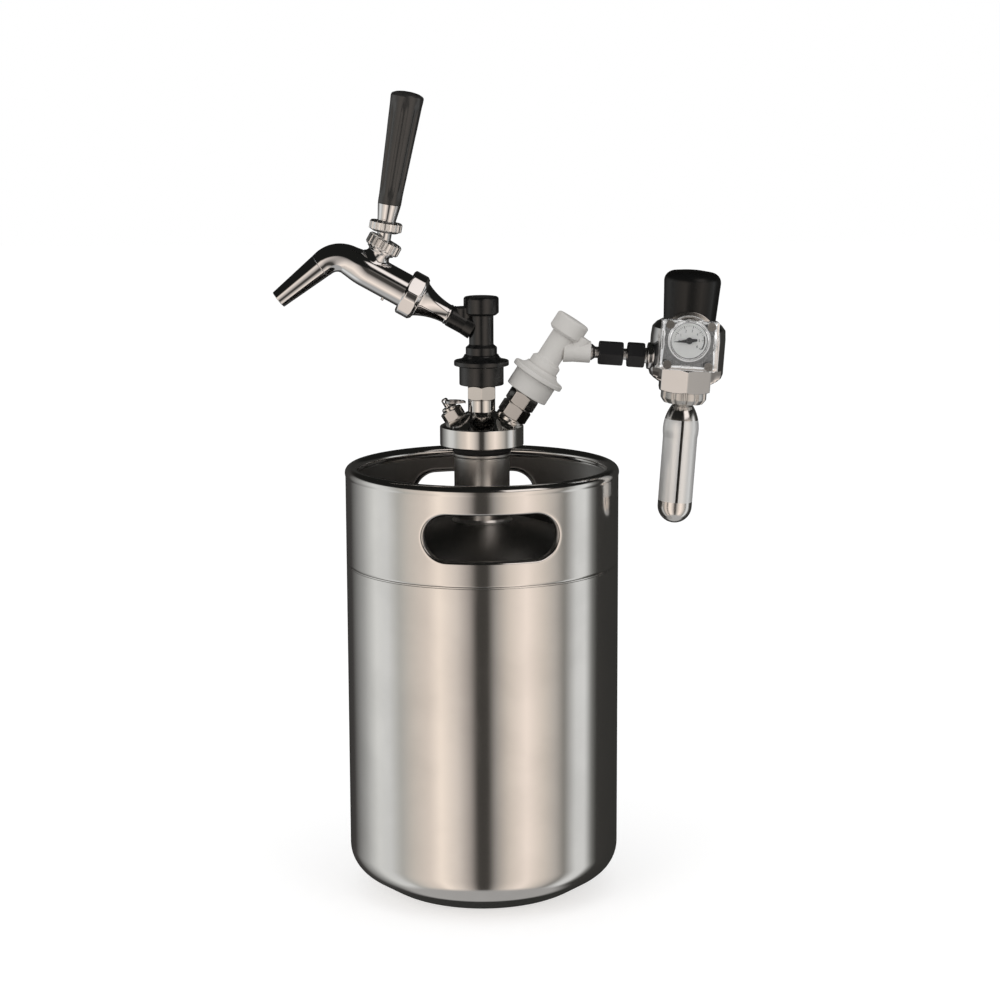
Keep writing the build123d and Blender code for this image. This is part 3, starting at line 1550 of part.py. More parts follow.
# ================================================================ gas cartridge
cartridge = moved(regulator, 0, cartridge_top)
with BuildPart() as co2_cartridge:
    belly_low = -cartridge_length + cartridge_radius
    inner_radius = cartridge_radius - cartridge_wall
    inner_neck = cartridge_neck_radius - cartridge_wall
    inner_thread = cartridge_thread_radius - cartridge_wall
    inner_neck_drop = cartridge_neck_drop + cartridge_wall
    with BuildSketch(section(cartridge)) as half:
        with BuildLine():
            Polyline(
                (cartridge_mouth_radius, 0), (cartridge_thread_radius - cartridge_edge, 0),
                (cartridge_thread_radius, -cartridge_edge),
                (cartridge_thread_radius, -cartridge_thread_length),
                (cartridge_neck_radius, -cartridge_neck_drop),
            )
            SagittaArc(
                (cartridge_neck_radius, -cartridge_neck_drop), (cartridge_radius, -cartridge_shoulder_drop),
                cartridge_bulge,
            )
            Line((cartridge_radius, -cartridge_shoulder_drop), (cartridge_radius, belly_low))
            CenterArc((0, belly_low), cartridge_radius, 0, -90)
            Line((0, -cartridge_length), (0, -cartridge_length + cartridge_wall))
            CenterArc((0, belly_low), inner_radius, -90, 90)
            Line((inner_radius, belly_low), (inner_radius, -cartridge_shoulder_drop))
            SagittaArc(
                (inner_radius, -cartridge_shoulder_drop), (inner_neck, -inner_neck_drop), -cartridge_bulge,
            )
            Polyline(
                (inner_neck, -inner_neck_drop), (inner_thread, -cartridge_thread_length),
                (inner_thread, -cartridge_mouth_depth),
                (cartridge_mouth_radius, -cartridge_mouth_depth), (cartridge_mouth_radius, 0),
            )
        make_face()
    revolve(half.sketch, axis=Axis(cartridge.origin, cartridge.z_dir))
keep(co2_cartridge, "co2_cartridge")
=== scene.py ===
from math import asin, atan2, ceil, cos, hypot, pi, radians, sin, sqrt, tan

import bmesh
import bpy
from mathutils import Matrix, Vector


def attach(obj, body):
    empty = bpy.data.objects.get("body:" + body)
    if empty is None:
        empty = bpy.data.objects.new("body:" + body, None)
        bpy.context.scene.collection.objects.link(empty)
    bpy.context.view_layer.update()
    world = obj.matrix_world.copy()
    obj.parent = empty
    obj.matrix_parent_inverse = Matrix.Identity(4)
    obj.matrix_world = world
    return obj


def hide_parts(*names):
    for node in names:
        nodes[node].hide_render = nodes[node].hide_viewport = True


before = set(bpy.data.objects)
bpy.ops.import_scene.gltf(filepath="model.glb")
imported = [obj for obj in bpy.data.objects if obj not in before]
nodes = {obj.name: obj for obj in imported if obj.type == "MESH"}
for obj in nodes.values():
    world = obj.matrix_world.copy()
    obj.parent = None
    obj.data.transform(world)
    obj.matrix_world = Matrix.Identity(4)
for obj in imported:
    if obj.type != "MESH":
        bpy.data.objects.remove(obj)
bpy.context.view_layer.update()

# ---------------------------------------------------------------- keg vessel
# The keg's vessel is a cup of stainless sheet, deep drawn, with a conical toe and a flat foot
# ring, then polished on a lathe to a satin shine. Sizes are in millimetres, about the keg's axis.
MM = 0.001
keg_radius = 87.5
sheet = 1.2
seam_low, seam_high = 215.8, 216.8
toe_slope, toe_radius, corner_radius = radians(32.2), 31.3, 19.9
foot_inner, foot_reach = 43.8, 48.8
dish_reach, dish_rise = 31.8, 6.0


class Wire:
    """What comes out of a node, for use in sums: 1 - rub adds its own Math node."""

    def __init__(self, paint, socket):
        self.paint, self.socket = paint, socket

    def sum(self, operation, first, second):
        return self.paint.node("Math", {"operation": operation}, {0: first, 1: second})

    def __add__(self, other):
        return self.sum("ADD", self, other)

    def __sub__(self, other):
        return self.sum("SUBTRACT", self, other)

    def __rsub__(self, other):
        return self.sum("SUBTRACT", other, self)

    def __mul__(self, other):
        return self.sum("MULTIPLY", self, other)

    __radd__ = __add__
    __rmul__ = __mul__


class Paint:
    """Nodes of a material or of the world, each made by node() and joined through Wires."""

    def __init__(self, owner):
        self.owner = owner
        owner.use_nodes = True
        self.tree = owner.node_tree
        self.tree.nodes.clear()

    def end(self, kind, last):
        """Lead the last wire to the output that shows it."""
        self.tree.links.new(last.socket, self.tree.nodes.new("ShaderNodeOutput" + kind).inputs[0])

    def node(self, kind, settings, sockets, out=0):
        made = self.tree.nodes.new("ShaderNode" + kind)
        for key, value in settings.items():
            if key == "stops":
                ramp = made.color_ramp.elements
                while len(ramp) < len(value):
                    ramp.new(0.5)
                for stop, (place, colour) in zip(ramp, value):
                    stop.position, stop.color = place, (*colour, 1)
            else:
                setattr(made, key, value)
        for key, value in sockets.items():
            self.feed(made.inputs[key], value)
        return Wire(self, made.outputs[out])

    def feed(self, socket, value):
        if isinstance(value, Wire):
            self.tree.links.new(value.socket, socket)
        elif socket.type == "RGBA":
            socket.default_value = (*value, 1)
        else:
            socket.default_value = value

    def spot(self):
        """Place on the piece, in metres from its own origin."""
        return self.node("TexCoord", {}, {}, "Object")

    def axes(self):
        """The same place as three separate wires."""
        whole = self.spot()
        return [self.node("SeparateXYZ", {}, {0: whole}, out) for out in range(3)]

    def reach(self, x, y):
        """Distance from the Z axis."""
        return self.node("Math", {"operation": "SQRT"}, {0: x * x + y * y})

    def round_spot(self, along, across):
        """Place on a turned piece, as its distance from the axis, height and angle, each scaled."""
        x, y, z = self.axes()
        angle = self.node("Math", {"operation": "ARCTAN2"}, {0: y, 1: x})
        return self.node("CombineXYZ", {}, {0: self.reach(x, y) * along, 1: z * along, 2: angle * across})

    def grain(self, scale, detail=3.0, spot=None, stretch=(1, 1, 1)):
        """Noise from 0 to 1, with scale given as grains to a metre."""
        laid = self.node("Mapping", {}, {"Vector": spot or self.spot(), "Scale": stretch})
        return self.node("TexNoise", {}, {"Vector": laid, "Scale": scale, "Detail": detail})

    def step(self, value, low, high):
        """Zero below low and one above high, with a smooth change between them."""
        return self.node("MapRange", {"interpolation_type": "SMOOTHSTEP"}, {0: value, 1: low, 2: high})

    def between(self, value, low, high, soft):
        """One between low and high, zero outside, with edges that are soft wide."""
        return self.step(value, low - soft, low) * (1 - self.step(value, high, high + soft))

    def tint(self, mask, first, second):
        """First colour where the mask is 0, and second where it is 1."""
        return self.node("Mix", {"data_type": "RGBA"}, {0: mask, 6: first, 7: second}, 2)

    def relief(self, height, depth):
        """Surface raised by up to depth in millimetres where height is 1."""
        return self.node("Bump", {}, {"Height": height, "Distance": depth * MM, "Strength": 1.0})


class Finish(Paint):
    """A surface finish, built up from its base to its marks."""

    def __init__(self, name, **constant):
        super().__init__(bpy.data.materials.new(name))
        self.surface = self.tree.nodes.new("ShaderNodeBsdfPrincipled")
        self.end("Material", Wire(self, self.surface.outputs[0]))
        self.lay(**constant)

    def lay(self, **sockets):
        for name, value in sockets.items():
            self.feed(self.surface.inputs[name.replace("_", " ").title().replace("Ior", "IOR")], value)


def shown(*values):
    """Linear colour of a paint that shows as these values from 0 to 255."""
    return tuple(((v / 255 + 0.055) / 1.055) ** 2.4 if v > 10 else v / 255 / 12.92 for v in values)


def bow(start, end, sag, parts=10):
    """Points of an arc from start to end that stands off its chord by sag, to the left if positive."""
    dx, dy = end[0] - start[0], end[1] - start[1]
    chord = hypot(dx, dy)
    radius = (chord * chord / 4 + sag * sag) / (2 * abs(sag))
    spread = 2 * asin(min(1, chord / 2 / radius))
    side = 1 if sag > 0 else -1
    mid = ((start[0] + end[0]) / 2, (start[1] + end[1]) / 2)
    off = side * (radius - abs(sag))
    centre = (mid[0] + dy / chord * off, mid[1] - dx / chord * off)
    first = atan2(start[1] - centre[1], start[0] - centre[0])
    return [
        (centre[0] + radius * cos(a), centre[1] + radius * sin(a), 0)
        for a in (first - side * spread * i / parts for i in range(parts + 1))
    ]


def rounded(corners, loop, small=0.3, turns=4):
    """Line through the corners, each rounded by its third value or by small, and held beside it."""
    before = [corners[-1] if loop else (-1, 0), *corners]
    corners = [b for a, b in zip(before, corners) if hypot(a[0] - b[0], a[1] - b[1]) > 1e-3]
    count = len(corners)
    line = []
    for index, corner in enumerate(corners):
        point = Vector(corner[:2])
        radius = corner[2] if len(corner) > 2 else small
        if radius == 0 or (not loop and index in (0, count - 1)):
            line.append(point)
            continue
        back = Vector(corners[index - 1][:2]) - point
        ahead = Vector(corners[(index + 1) % count][:2]) - point
        half = back.angle(ahead) / 2
        reach = min(radius / tan(half), 0.45 * back.length, 0.45 * ahead.length)
        radius = reach * tan(half)
        back_way, ahead_way = back.normalized(), ahead.normalized()
        hold = 0.35 * radius
        centre = point + (back_way + ahead_way).normalized() * hypot(reach, radius)
        start, end = point + back_way * reach - centre, point + ahead_way * reach - centre
        line.append(point + back_way * min(reach + hold, 0.49 * back.length))
        for turn in range(turns + 1):
            share = turn / turns
            spread = pi - 2 * half
            line.append(
                centre + (start * sin((1 - share) * spread) + end * sin(share * spread)) / sin(spread)
            )
        line.append(point + ahead_way * min(reach + hold, 0.49 * ahead.length))
    return line


def moved(place, side, height):
    """Place moved along its own X and Z axes."""
    return place @ Matrix.Translation((side, 0, height))


def leant(place, lean):
    """Place leant from its own Z axis towards its X axis by lean degrees."""
    return place @ Matrix.Rotation(radians(lean), 4, "Y")


def settle(piece, body, slot, finish, *stands_for):
    """Give a piece its finish, and fix it to the body that carries it."""
    piece.data.materials.append(finish.owner)
    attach(piece, body)
    if stands_for:
        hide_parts(*stands_for)


def skin(name, place, strips, loop):
    """Closed smooth skin over strips of points that follow each other round a piece."""
    shell = bmesh.new()
    rows = [[shell.verts.new((x * MM, y * MM, z * MM)) for x, y, z in strip] for strip in strips]
    for left, right in zip(rows, rows[1:] + rows[:1]):
        pairs = list(zip(left, right))
        for (a, b), (c, d) in zip(pairs, pairs[1:] + (pairs[:1] if loop else [])):
            shell.faces.new((a, b, d, c))
    bmesh.ops.remove_doubles(shell, verts=shell.verts, dist=1e-7)
    bmesh.ops.recalc_face_normals(shell, faces=shell.faces)
    return as_piece(name, place, shell)


def as_piece(name, place, shell):
    mesh = bpy.data.meshes.new(name)
    for face in shell.faces:
        face.smooth = True
    shell.to_mesh(mesh)
    shell.free()
    piece = bpy.data.objects.new(name, mesh)
    bpy.context.scene.collection.objects.link(piece)
    place = place.copy()
    place.translation *= MM
    piece.matrix_world = place
    return piece


def spun(name, place, corners, loop=False, steps=96, form=None, small=0.3):
    """Piece turned on a lathe from its half section; form may move a point of it at each angle."""
    line = rounded(corners, loop, small)
    strips = []
    for step in range(steps):
        angle = 2 * pi * step / steps
        strip = []
        for reach, height in line:
            if form:
                reach, height = form(reach, height, angle)
            strip.append((reach * cos(angle), reach * sin(angle), height))
        strips.append(strip)
    return skin(name, place, strips, loop)


keg_place = Matrix.Identity(4)


def cup_edge(inset):
    """Vessel from the foot's inner edge up to the seam, inset from its outside by inset."""
    toe_reach, toe_top = foot_reach + toe_radius * sin(toe_slope), toe_radius * (1 - cos(toe_slope))
    corner_reach = keg_radius - corner_radius * (1 - sin(toe_slope))
    corner_height = toe_top + (corner_reach - toe_reach) * tan(toe_slope) + corner_radius * cos(toe_slope)
    line = [(foot_inner, inset, 0)]
    toe, corner = toe_radius - inset, corner_radius - inset
    for a in (toe_slope * i / 8 for i in range(9)):
        line.append((foot_reach + toe * sin(a), toe_radius - toe * cos(a), 0))
    for a in (toe_slope + (pi / 2 - toe_slope) * i / 14 for i in range(15)):
        line.append((keg_radius - corner_radius + corner * sin(a), corner_height - corner * cos(a), 0))
    return line


def polished_steel(name, rough, swirl, tone=(0.80, 0.79, 0.775), across=0.6, well_shade=None):
    """Stainless steel polished on a lathe: fine rings round it, and faint hand marks over them."""
    steel = Finish(name, metallic=1.0)
    rings = steel.grain(1.0, 4.0, steel.round_spot(2600.0, across))
    haze = steel.grain(26.0, 4.0)
    smears = steel.step(steel.grain(90.0, 5.0, stretch=(1, 1, 0.3)), 0.52, 0.72)
    rub = steel.step(haze, 0.35, 0.7)
    dull = tuple(0.93 * v for v in tone)
    colour = steel.tint(rub, tone, dull)
    rough = rough + rub * 0.025 + smears * 0.02 + rings * 0.03
    # Where the mask is 1, the colour is darkened as painted shade and the finish is made rougher.
    if well_shade:
        inside = well_shade(steel)
        colour = steel.tint(inside, colour, tuple(0.42 * v for v in tone))
        rough = rough + inside * 0.24
    steel.lay(base_color=colour, roughness=rough, normal=steel.relief(rings, swirl))
    return steel


def inside_collar(steel):
    """Inside the collar's well, on the top of the dome and the inner face of the collar: painted shade, with
    a rougher finish where the keg is left as rolled.
    """
    x, y, z = steel.axes()
    within = 1 - steel.step(steel.reach(x, y), 0.0866, 0.0870)
    return within * steel.step(z, 0.2165, 0.2175) * (1 - steel.step(z, 0.2695, 0.2715))


# The keg's steel has painted shade inside the collar's well, where the finish is also rougher.
keg_steel = polished_steel("keg_steel_finish", 0.09, 0.0010, well_shade=inside_collar)
outside, inside = cup_edge(0), cup_edge(sheet)
keg_vessel = spun(
    "keg_vessel_shell", keg_place,
    [(0, dish_rise), (dish_reach, dish_rise, 3.0), (foot_inner, 0, 2.0), *outside[1:],
     (keg_radius, seam_low, 0.35), (keg_radius - sheet, seam_low, 0.35), *reversed(inside[1:]),
     (foot_inner, sheet, 2.0), (dish_reach, dish_rise + sheet, 3.0), (0, dish_rise + sheet)],
    steps=256,
)
settle(keg_vessel, "keg", "keg_steel", keg_steel, "keg_vessel")

# ---------------------------------------------------------------- domed top and neck
# The domed top is pressed from the same sheet; its edge is the fine line between vessel and
# collar. The neck is a turned tube, welded where it passes through the flat of the dome.
dome_flat, dome_flat_reach, dome_bulge = 243.0, 24.0, 3.7
dome_edge, dome_seat = keg_radius - sheet - 0.05, 85.05
neck_bore, neck_reach, neck_top = 14.2, 17.8, 287.4
keg_dome = spun(
    "keg_dome_sheet", keg_place,
    [(neck_reach + 0.05, dome_flat),
     *bow((dome_flat_reach, dome_flat), (dome_edge, seam_high), dome_bulge, 24), (keg_radius, seam_high, 0.3),
     (keg_radius, seam_low, 0.3), (dome_seat, seam_low, 0.2),
     *bow((dome_seat, seam_low), (dome_flat_reach, dome_flat - sheet), -dome_bulge, 24),
     (neck_reach + 0.05, dome_flat - sheet)],
    loop=True, steps=256,
)
settle(keg_dome, "keg", "keg_steel", keg_steel, "keg_dome")

neck_steel = polished_steel("neck_steel_finish", 0.27, 0.0018, (0.94, 0.93, 0.91))
keg_neck = spun(
    "keg_neck_tube", keg_place,
    [(neck_bore, 236.0), (neck_reach, 236.0), (neck_reach, dome_flat, 0.2), (20.2, dome_flat, 0.9),
     (18.6, 243.8, 0.6), (neck_reach, 245.4, 0.9), (neck_reach, 284.0, 0.2), (17.1, 284.0, 0.2),
     (17.1, 284.7, 0.2), (18.15, 284.7, 0.2), (18.5, 285.4, 0.3), (18.5, 286.7, 0.3),
     (neck_reach, neck_top, 0.3), (neck_bore, neck_top)],
    loop=True, steps=128,
)
settle(keg_neck, "keg", "turned_steel", neck_steel, "keg_neck")

# ---------------------------------------------------------------- handle collar
# The collar is a band of the same sheet with a rolled rim. Two hand slots face each other in
# it, their edges pressed inwards to a smooth lip.
slot_turn = radians(3.8)
slot_middle = 246.8
slot_half_length, slot_half_height = 41.75, 14.2
lip_bend = 2.2
rim_reach, rim_middle, rim_radius = 83.6, 274.7, 4.3
lip_depth, lip_edge = 4.0, 3.6
wall_low, wall_high, wall_rows = 218.4, 272.0, 26
wall_heights = [wall_low + (wall_high - wall_low) * i / wall_rows for i in range(wall_rows + 1)]
columns, patch = 240, 24    # steps round the keg, and from a slot's middle to the end of its wall


def on_wall(across, height, depth):
    """Point of the collar at a place seen square to the slot, depth inside its outer face."""
    angle = asin(across / keg_radius) - pi / 2 + slot_turn
    return (keg_radius - depth) * cos(angle), (keg_radius - depth) * sin(angle), height


def collar_wall():
    """Both faces of the collar round each slot, and the pressed lip that joins them."""
    medial = slot_half_length - slot_half_height
    edge_angle = 2 * pi * patch / columns
    angles = [edge_angle * (i / patch - 1) for i in range(2 * patch + 1)]
    rim = [(a, wall_low) for a in angles] + [(edge_angle, h) for h in wall_heights[1:]]
    rim += [(a, wall_high) for a in reversed(angles[:-1])] + [(-edge_angle, h) for h in wall_heights[-2:0:-1]]
    bend = lip_bend - sheet
    strips = []
    for angle, height in rim:
        x, z = keg_radius * sin(angle), height - slot_middle
        core = max(-medial, min(medial, x))
        way = Vector((x - core, z)).normalized()
        reach = (Vector((x, z)) - Vector((core, 0))).length - slot_half_height
        line = [(reach + (lip_bend - reach) * share, 0.0) for share in (0, 0.2, 0.4, 0.6, 0.8, 0.93, 1)]
        for t in (radians(15 * k) for k in range(1, 7)):
            line.append((lip_bend * (1 - sin(t)), lip_bend * (1 - cos(t))))
        line += [(0.0, lip_edge), (0.08, 3.85), (0.35, lip_depth)]
        line += [(0.85, lip_depth), (1.12, 3.85), (sheet, lip_edge)]
        for t in (radians(30 * k) for k in range(4)):
            line.append((sheet + bend * (1 - cos(t)), sheet + bend * (1 - sin(t))))
        line += [(lip_bend + (reach - lip_bend) * share, sheet) for share in (0.07, 0.2, 0.4, 0.6, 0.8, 1)]
        out = [(slot_half_height + off, depth) for off, depth in line]
        strips.append([on_wall(core + way.x * off, slot_middle + way.y * off, depth) for off, depth in out])
    return strips


def weave(shell, strips, closed):
    """Faces between strips of points that follow each other, and back to the first if closed."""
    rows = [[shell.verts.new(Vector(point) * MM) for point in strip] for strip in strips]
    for left, right in zip(rows, rows[1:] + (rows[:1] if closed else [])):
        for a, b, c, d in zip(left, right, right[1:], left[1:]):
            shell.faces.new((a, b, c, d))


def build_collar():
    """The walls round both slots, the plain wall between them, and the whole foot and rim."""
    shell = bmesh.new()
    strips = collar_wall()
    for turn in (0, pi):
        spin = Matrix.Rotation(turn, 3, "Z")
        weave(shell, [[spin @ Vector(point) for point in strip] for strip in strips], True)
    curl = [
        (rim_reach + rim_radius * cos(a), rim_middle + rim_radius * sin(a))
        for a in (radians(-24.9 + (205 + 24.9) * i / 22) for i in range(23))
    ]
    tucked = [
        (rim_reach + (rim_radius - sheet) * cos(a), rim_middle + (rim_radius - sheet) * sin(a))
        for a in (radians(205 - (205 + 62) * i / 18) for i in range(19))
    ]
    foot = [(keg_radius - sheet, wall_low), (keg_radius - sheet, 217.0), (keg_radius - 1.0, seam_high),
            (keg_radius - 0.35, seam_high), (keg_radius, 217.15), (keg_radius, wall_low)]
    top = [(keg_radius, wall_high), (keg_radius, 272.7), *curl, *tucked, (keg_radius - sheet, 272.6),
           (keg_radius - sheet, wall_high)]
    for line in (foot, top):
        turns = [2 * pi * step / columns - pi / 2 + slot_turn for step in range(columns)]
        weave(shell, [[(r * cos(a), r * sin(a), z) for r, z in line] for a in turns], True)
    for reach in (keg_radius, keg_radius - sheet):
        for half in (0, 1):
            steps = range(patch, columns // 2 - patch + 1)
            turns = [2 * pi * step / columns - pi / 2 + slot_turn + half * pi for step in steps]
            weave(shell, [[(reach * cos(a), reach * sin(a), z) for z in wall_heights] for a in turns], False)
    bmesh.ops.remove_doubles(shell, verts=shell.verts, dist=2e-6)
    bmesh.ops.recalc_face_normals(shell, faces=shell.faces)
    return as_piece("handle_collar_band", keg_place, shell)


handle_collar = build_collar()
settle(handle_collar, "keg", "keg_steel", keg_steel, "handle_collar")

# ---------------------------------------------------------------- tapping head
# The head is one bar of stainless steel, turned and polished, that screws into the neck on a
# black silicone gasket. Its cone carries a pad for the gas post and one for the relief valve.
flange_reach, flange_low, flange_top = 26.75, 291.8, 304.0
spigot_reach, spigot_top = 13.9, 290.9
boss_reach, boss_top, head_bore = 8.7, 321.2, 4.3
ports_meet = moved(keg_place, 0, 281.0)
gas_axis, relief_axis = leant(ports_meet, 33.0), leant(ports_meet, -31.0)
gas_pad_top, relief_pad_top = 34.1, 32.4

silicone = Finish("silicone", base_color=shown(26, 26, 27), roughness=0.62)
silicone.lay(normal=silicone.relief(silicone.grain(2200.0), 0.02))
gasket = spun(
    "head_gasket_ring", keg_place,
    [(14.5, neck_top), (18.7, neck_top, 0.7), (18.7, spigot_top, 0.7), (14.5, spigot_top)], loop=True,
)
settle(gasket, "head", "rubber", silicone, "head_gasket")

head_steel = polished_steel("head_steel_finish", 0.07, 0.0015)
head = spun(
    "head_turning", keg_place,
    [(head_bore, 276.0), (10.9, 274.0), (10.9, 269.0), (13.3, 269.0, 0.5), (spigot_reach, 270.0, 0.4),
     (spigot_reach, spigot_top), (18.75, spigot_top), (18.75, flange_low, 0.2),
     (flange_reach, flange_low, 0.6), (flange_reach, flange_top, 0.7), (boss_reach, 313.4, 0.5),
     (boss_reach, boss_top, 0.5), (7.0, boss_top, 0.2), (7.0, 327.2), (head_bore, 327.2)],
    loop=True, steps=192,
)
settle(head, "head", "turned_steel", head_steel, "head_body")
for name, place, bore, reach, top in (
    ("gas_pad", gas_axis, 5.95, 9.4, gas_pad_top), ("relief_pad", relief_axis, 4.4, 6.8, relief_pad_top),
):
    pad = spun(name, place, [(bore, 22.0), (reach, 22.0), (reach, top, 0.5), (bore, top)], loop=True)
    settle(pad, "head", "turned_steel", head_steel)


def hexed(name, place, across, low, high, edge, bore, facing=0, cut=None):
    """Hexagon bar with turned edges, its corners slightly broken; cut may move its points."""
    flat = across / 2
    corner = flat / cos(pi / 6)
    turned = 0.985 * flat
    broken = 0.4
    strips = []
    for side in range(6):
        middle = 2 * pi * side / 6 + radians(facing)
        run = flat * tan(pi / 6) - broken * tan(pi / 6)
        spots = [(flat, run * share) for share in (-1, -0.93, -0.6, -0.3, 0, 0.3, 0.6, 0.93, 1)]
        for t in (pi / 12, pi / 6, pi / 4):
            spots.append((flat - broken + broken * cos(t), run + broken * sin(t)))
        for out, along in spots:
            reach = hypot(out, along)
            angle = middle + atan2(along, out)
            drop = edge * (reach - turned) / (corner - turned)
            line = rounded(
                [(bore, low), (turned, low, 0.15), (reach, low + drop, 0.15), (reach, high - drop, 0.15),
                 (turned, high, 0.15), (bore, high)],
                loop=True, turns=3,
            )
            strip = [(r * cos(angle), r * sin(angle), h) for r, h in line]
            strips.append([cut(point, angle, reach) for point in strip] if cut else strip)
    return skin(name, place, strips, loop=True)


post_across, post_hexagon = 17.5, 8.7
adapter_hexagon, adapter_bore = 8.8, 2.6
gas_facing = 21     # degrees from the gas post's side to the middle of its first flat
gas_seat = moved(gas_axis, 0, gas_pad_top)
gas_post_place = moved(gas_seat, 0, adapter_hexagon)
adapter = hexed(
    "gas_adapter_hexagon", gas_seat, post_across, 0, adapter_hexagon, 0.9, adapter_bore, facing=gas_facing,
)
settle(adapter, "head", "turned_steel", head_steel, "gas_post_adapter")
shank = spun(
    "gas_adapter_shank", gas_seat,
    [(adapter_bore, -8.5), (5.9, -8.5), (5.9, 0.2), (7.0, 0.2), (7.0, 16.0), (adapter_bore, 16.0)], loop=True,
)
settle(shank, "head", "turned_steel", head_steel)

# ---------------------------------------------------------------- ball-lock posts
# Each post is turned from hexagon bar: barrel, groove for the lock balls, and a tip with a
# rubber ring. The gas post's corners are notched, which marks it apart from the liquid post.
liquid_post_place = moved(keg_place, 0, boss_top)
post_reach, post_tip_reach, post_top = 8.1, 6.4, 29.5
notch_reach, notch_height, notch_width, notch_depth = 9.0, 1.2, 1.1, 0.9


def notched(point, angle, reach):
    """Notches in the middle of each corner of the hexagon."""
    x, y, z = point
    off = (angle - radians(gas_facing + 30) + pi / 6) % (pi / 3) - pi / 6
    along = post_across / 2 / cos(pi / 6) * sin(off)
    if min(reach, hypot(x, y)) > notch_reach and abs(z - post_hexagon / 2) < notch_height:
        pull = max(0.0, 1 - (along / notch_width) ** 2) * notch_depth
        share = 1 - pull / reach
        return x * share, y * share, z
    return point


for name, place, facing, cut in (
    ("liquid", liquid_post_place, 0, None), ("gas", gas_post_place, gas_facing, notched),
):
    post = hexed(f"{name}_post_hexagon", place, post_across, 0, post_hexagon, 0.9, 7.1, facing, cut)
    settle(post, "head", "turned_steel", head_steel, f"{name}_post")
    barrel = spun(
        f"{name}_post_barrel", place,
        [(7.05, 0.3), (post_reach, 0.3), (post_reach, 11.7, 0.2), (7.0, 11.7, 0.2), (7.0, 14.7, 0.2),
         (post_reach, 14.7, 0.2), (post_reach, 17.5, 0.4), (post_tip_reach, 20.0, 0.4),
         (post_tip_reach, 24.4, 0.2), (4.9, 24.4, 0.2), (4.9, 26.9, 0.2), (post_tip_reach, 26.9, 0.2),
         (post_tip_reach, post_top, 0.6), (2.4, post_top, 0.4), (2.4, 22.0), (5.2, 22.0), (5.2, 7.5),
         (7.05, 7.5)],
        loop=True, steps=64,
    )
    settle(barrel, "head", "turned_steel", head_steel)

# Inside the head and the posts: dip tube, poppets, their springs and the rubber rings. These
# are plain turned and wound parts, and keep the shapes of the model they come with.
spring_wire = polished_steel("spring_wire_finish", 0.24, 0.001, (0.70, 0.70, 0.69), 2.0)


def refinish(finish, *names):
    for name in names:
        for index in range(len(nodes[name].data.materials)):
            nodes[name].data.materials[index] = finish.owner


refinish(head_steel, "dip_tube", "post_poppets")
refinish(spring_wire, "post_poppet_springs", "relief_valve_spring")
refinish(silicone, "post_o_rings")

# ---------------------------------------------------------------- pressure relief valve
# The relief valve screws into the left pad. Its stem ends in an eye, and the bright pull ring,
# two turns of spring wire, is threaded through that.
relief_place = moved(relief_axis, 0, relief_pad_top)
pull_ring_reach = 6.3
chrome = Finish("chrome_plate", metallic=1.0)
plate_haze = chrome.grain(60.0, 4.0)
chrome.lay(
    base_color=chrome.tint(plate_haze, (0.86, 0.86, 0.87), (0.80, 0.80, 0.81)),
    roughness=0.045 + chrome.step(plate_haze, 0.4, 0.75) * 0.04,
    normal=chrome.relief(chrome.grain(420.0, 2.0), 0.0035),
)
relief_hexagon = hexed("relief_valve_hexagon", relief_place, 13.0, 0, 6.5, 0.7, 3.0, facing=20)
settle(relief_hexagon, "head", "turned_steel", head_steel, "relief_valve_body")
relief_collar = spun(
    "relief_valve_collar", relief_place,
    [(2.3, 6.2), (5.0, 6.2), (5.0, 8.3, 0.6), (4.3, 9.1, 0.5), (2.3, 9.1, 0.2)], loop=True, steps=64,
)
settle(relief_collar, "head", "turned_steel", head_steel)
relief_shank = spun(
    "relief_valve_shank", relief_place, [(3.0, -8.0), (4.2, -8.0), (4.2, 0.2), (3.0, 0.2)],
    loop=True, steps=48,
)
settle(relief_shank, "head", "turned_steel", head_steel)
refinish(chrome, "relief_valve_stem")


def wound(name, place, radius, wire, turns, pitch, parts=72, round_parts=14):
    """Wire wound round the Z axis, its ends rounded."""
    strips = [[] for _ in range(round_parts)]
    total = ceil(turns * parts)
    for step in range(-3, total + 4):
        a = 2 * pi * max(0, min(total, step)) / parts
        past = max(0, -step, step - total) / 3
        size = wire * sqrt(max(0.0, 1 - past * past))
        lift = pitch * (a / 2 / pi - turns / 2)
        slip = (step < 0) - (step > total)
        centre = Vector((radius * cos(a), radius * sin(a), lift))
        centre += Vector((sin(a), -cos(a), 0)) * slip * past * wire
        outward = Vector((cos(a), sin(a), 0))
        for part, strip in enumerate(strips):
            b = 2 * pi * part / round_parts
            strip.append(tuple(centre + outward * size * cos(b) + Vector((0, 0, size * sin(b)))))
    return skin(name, place, strips, loop=False)


eye = moved(relief_place, 0, 12.5).translation
eye_place = Matrix.Translation((eye.x + pull_ring_reach, 0, eye.z))
pull_ring = wound("relief_pull_ring_wire", eye_place, pull_ring_reach, 0.43, 1.9, 0.8)
settle(pull_ring, "relief_ring", "chrome", chrome, "relief_pull_ring")

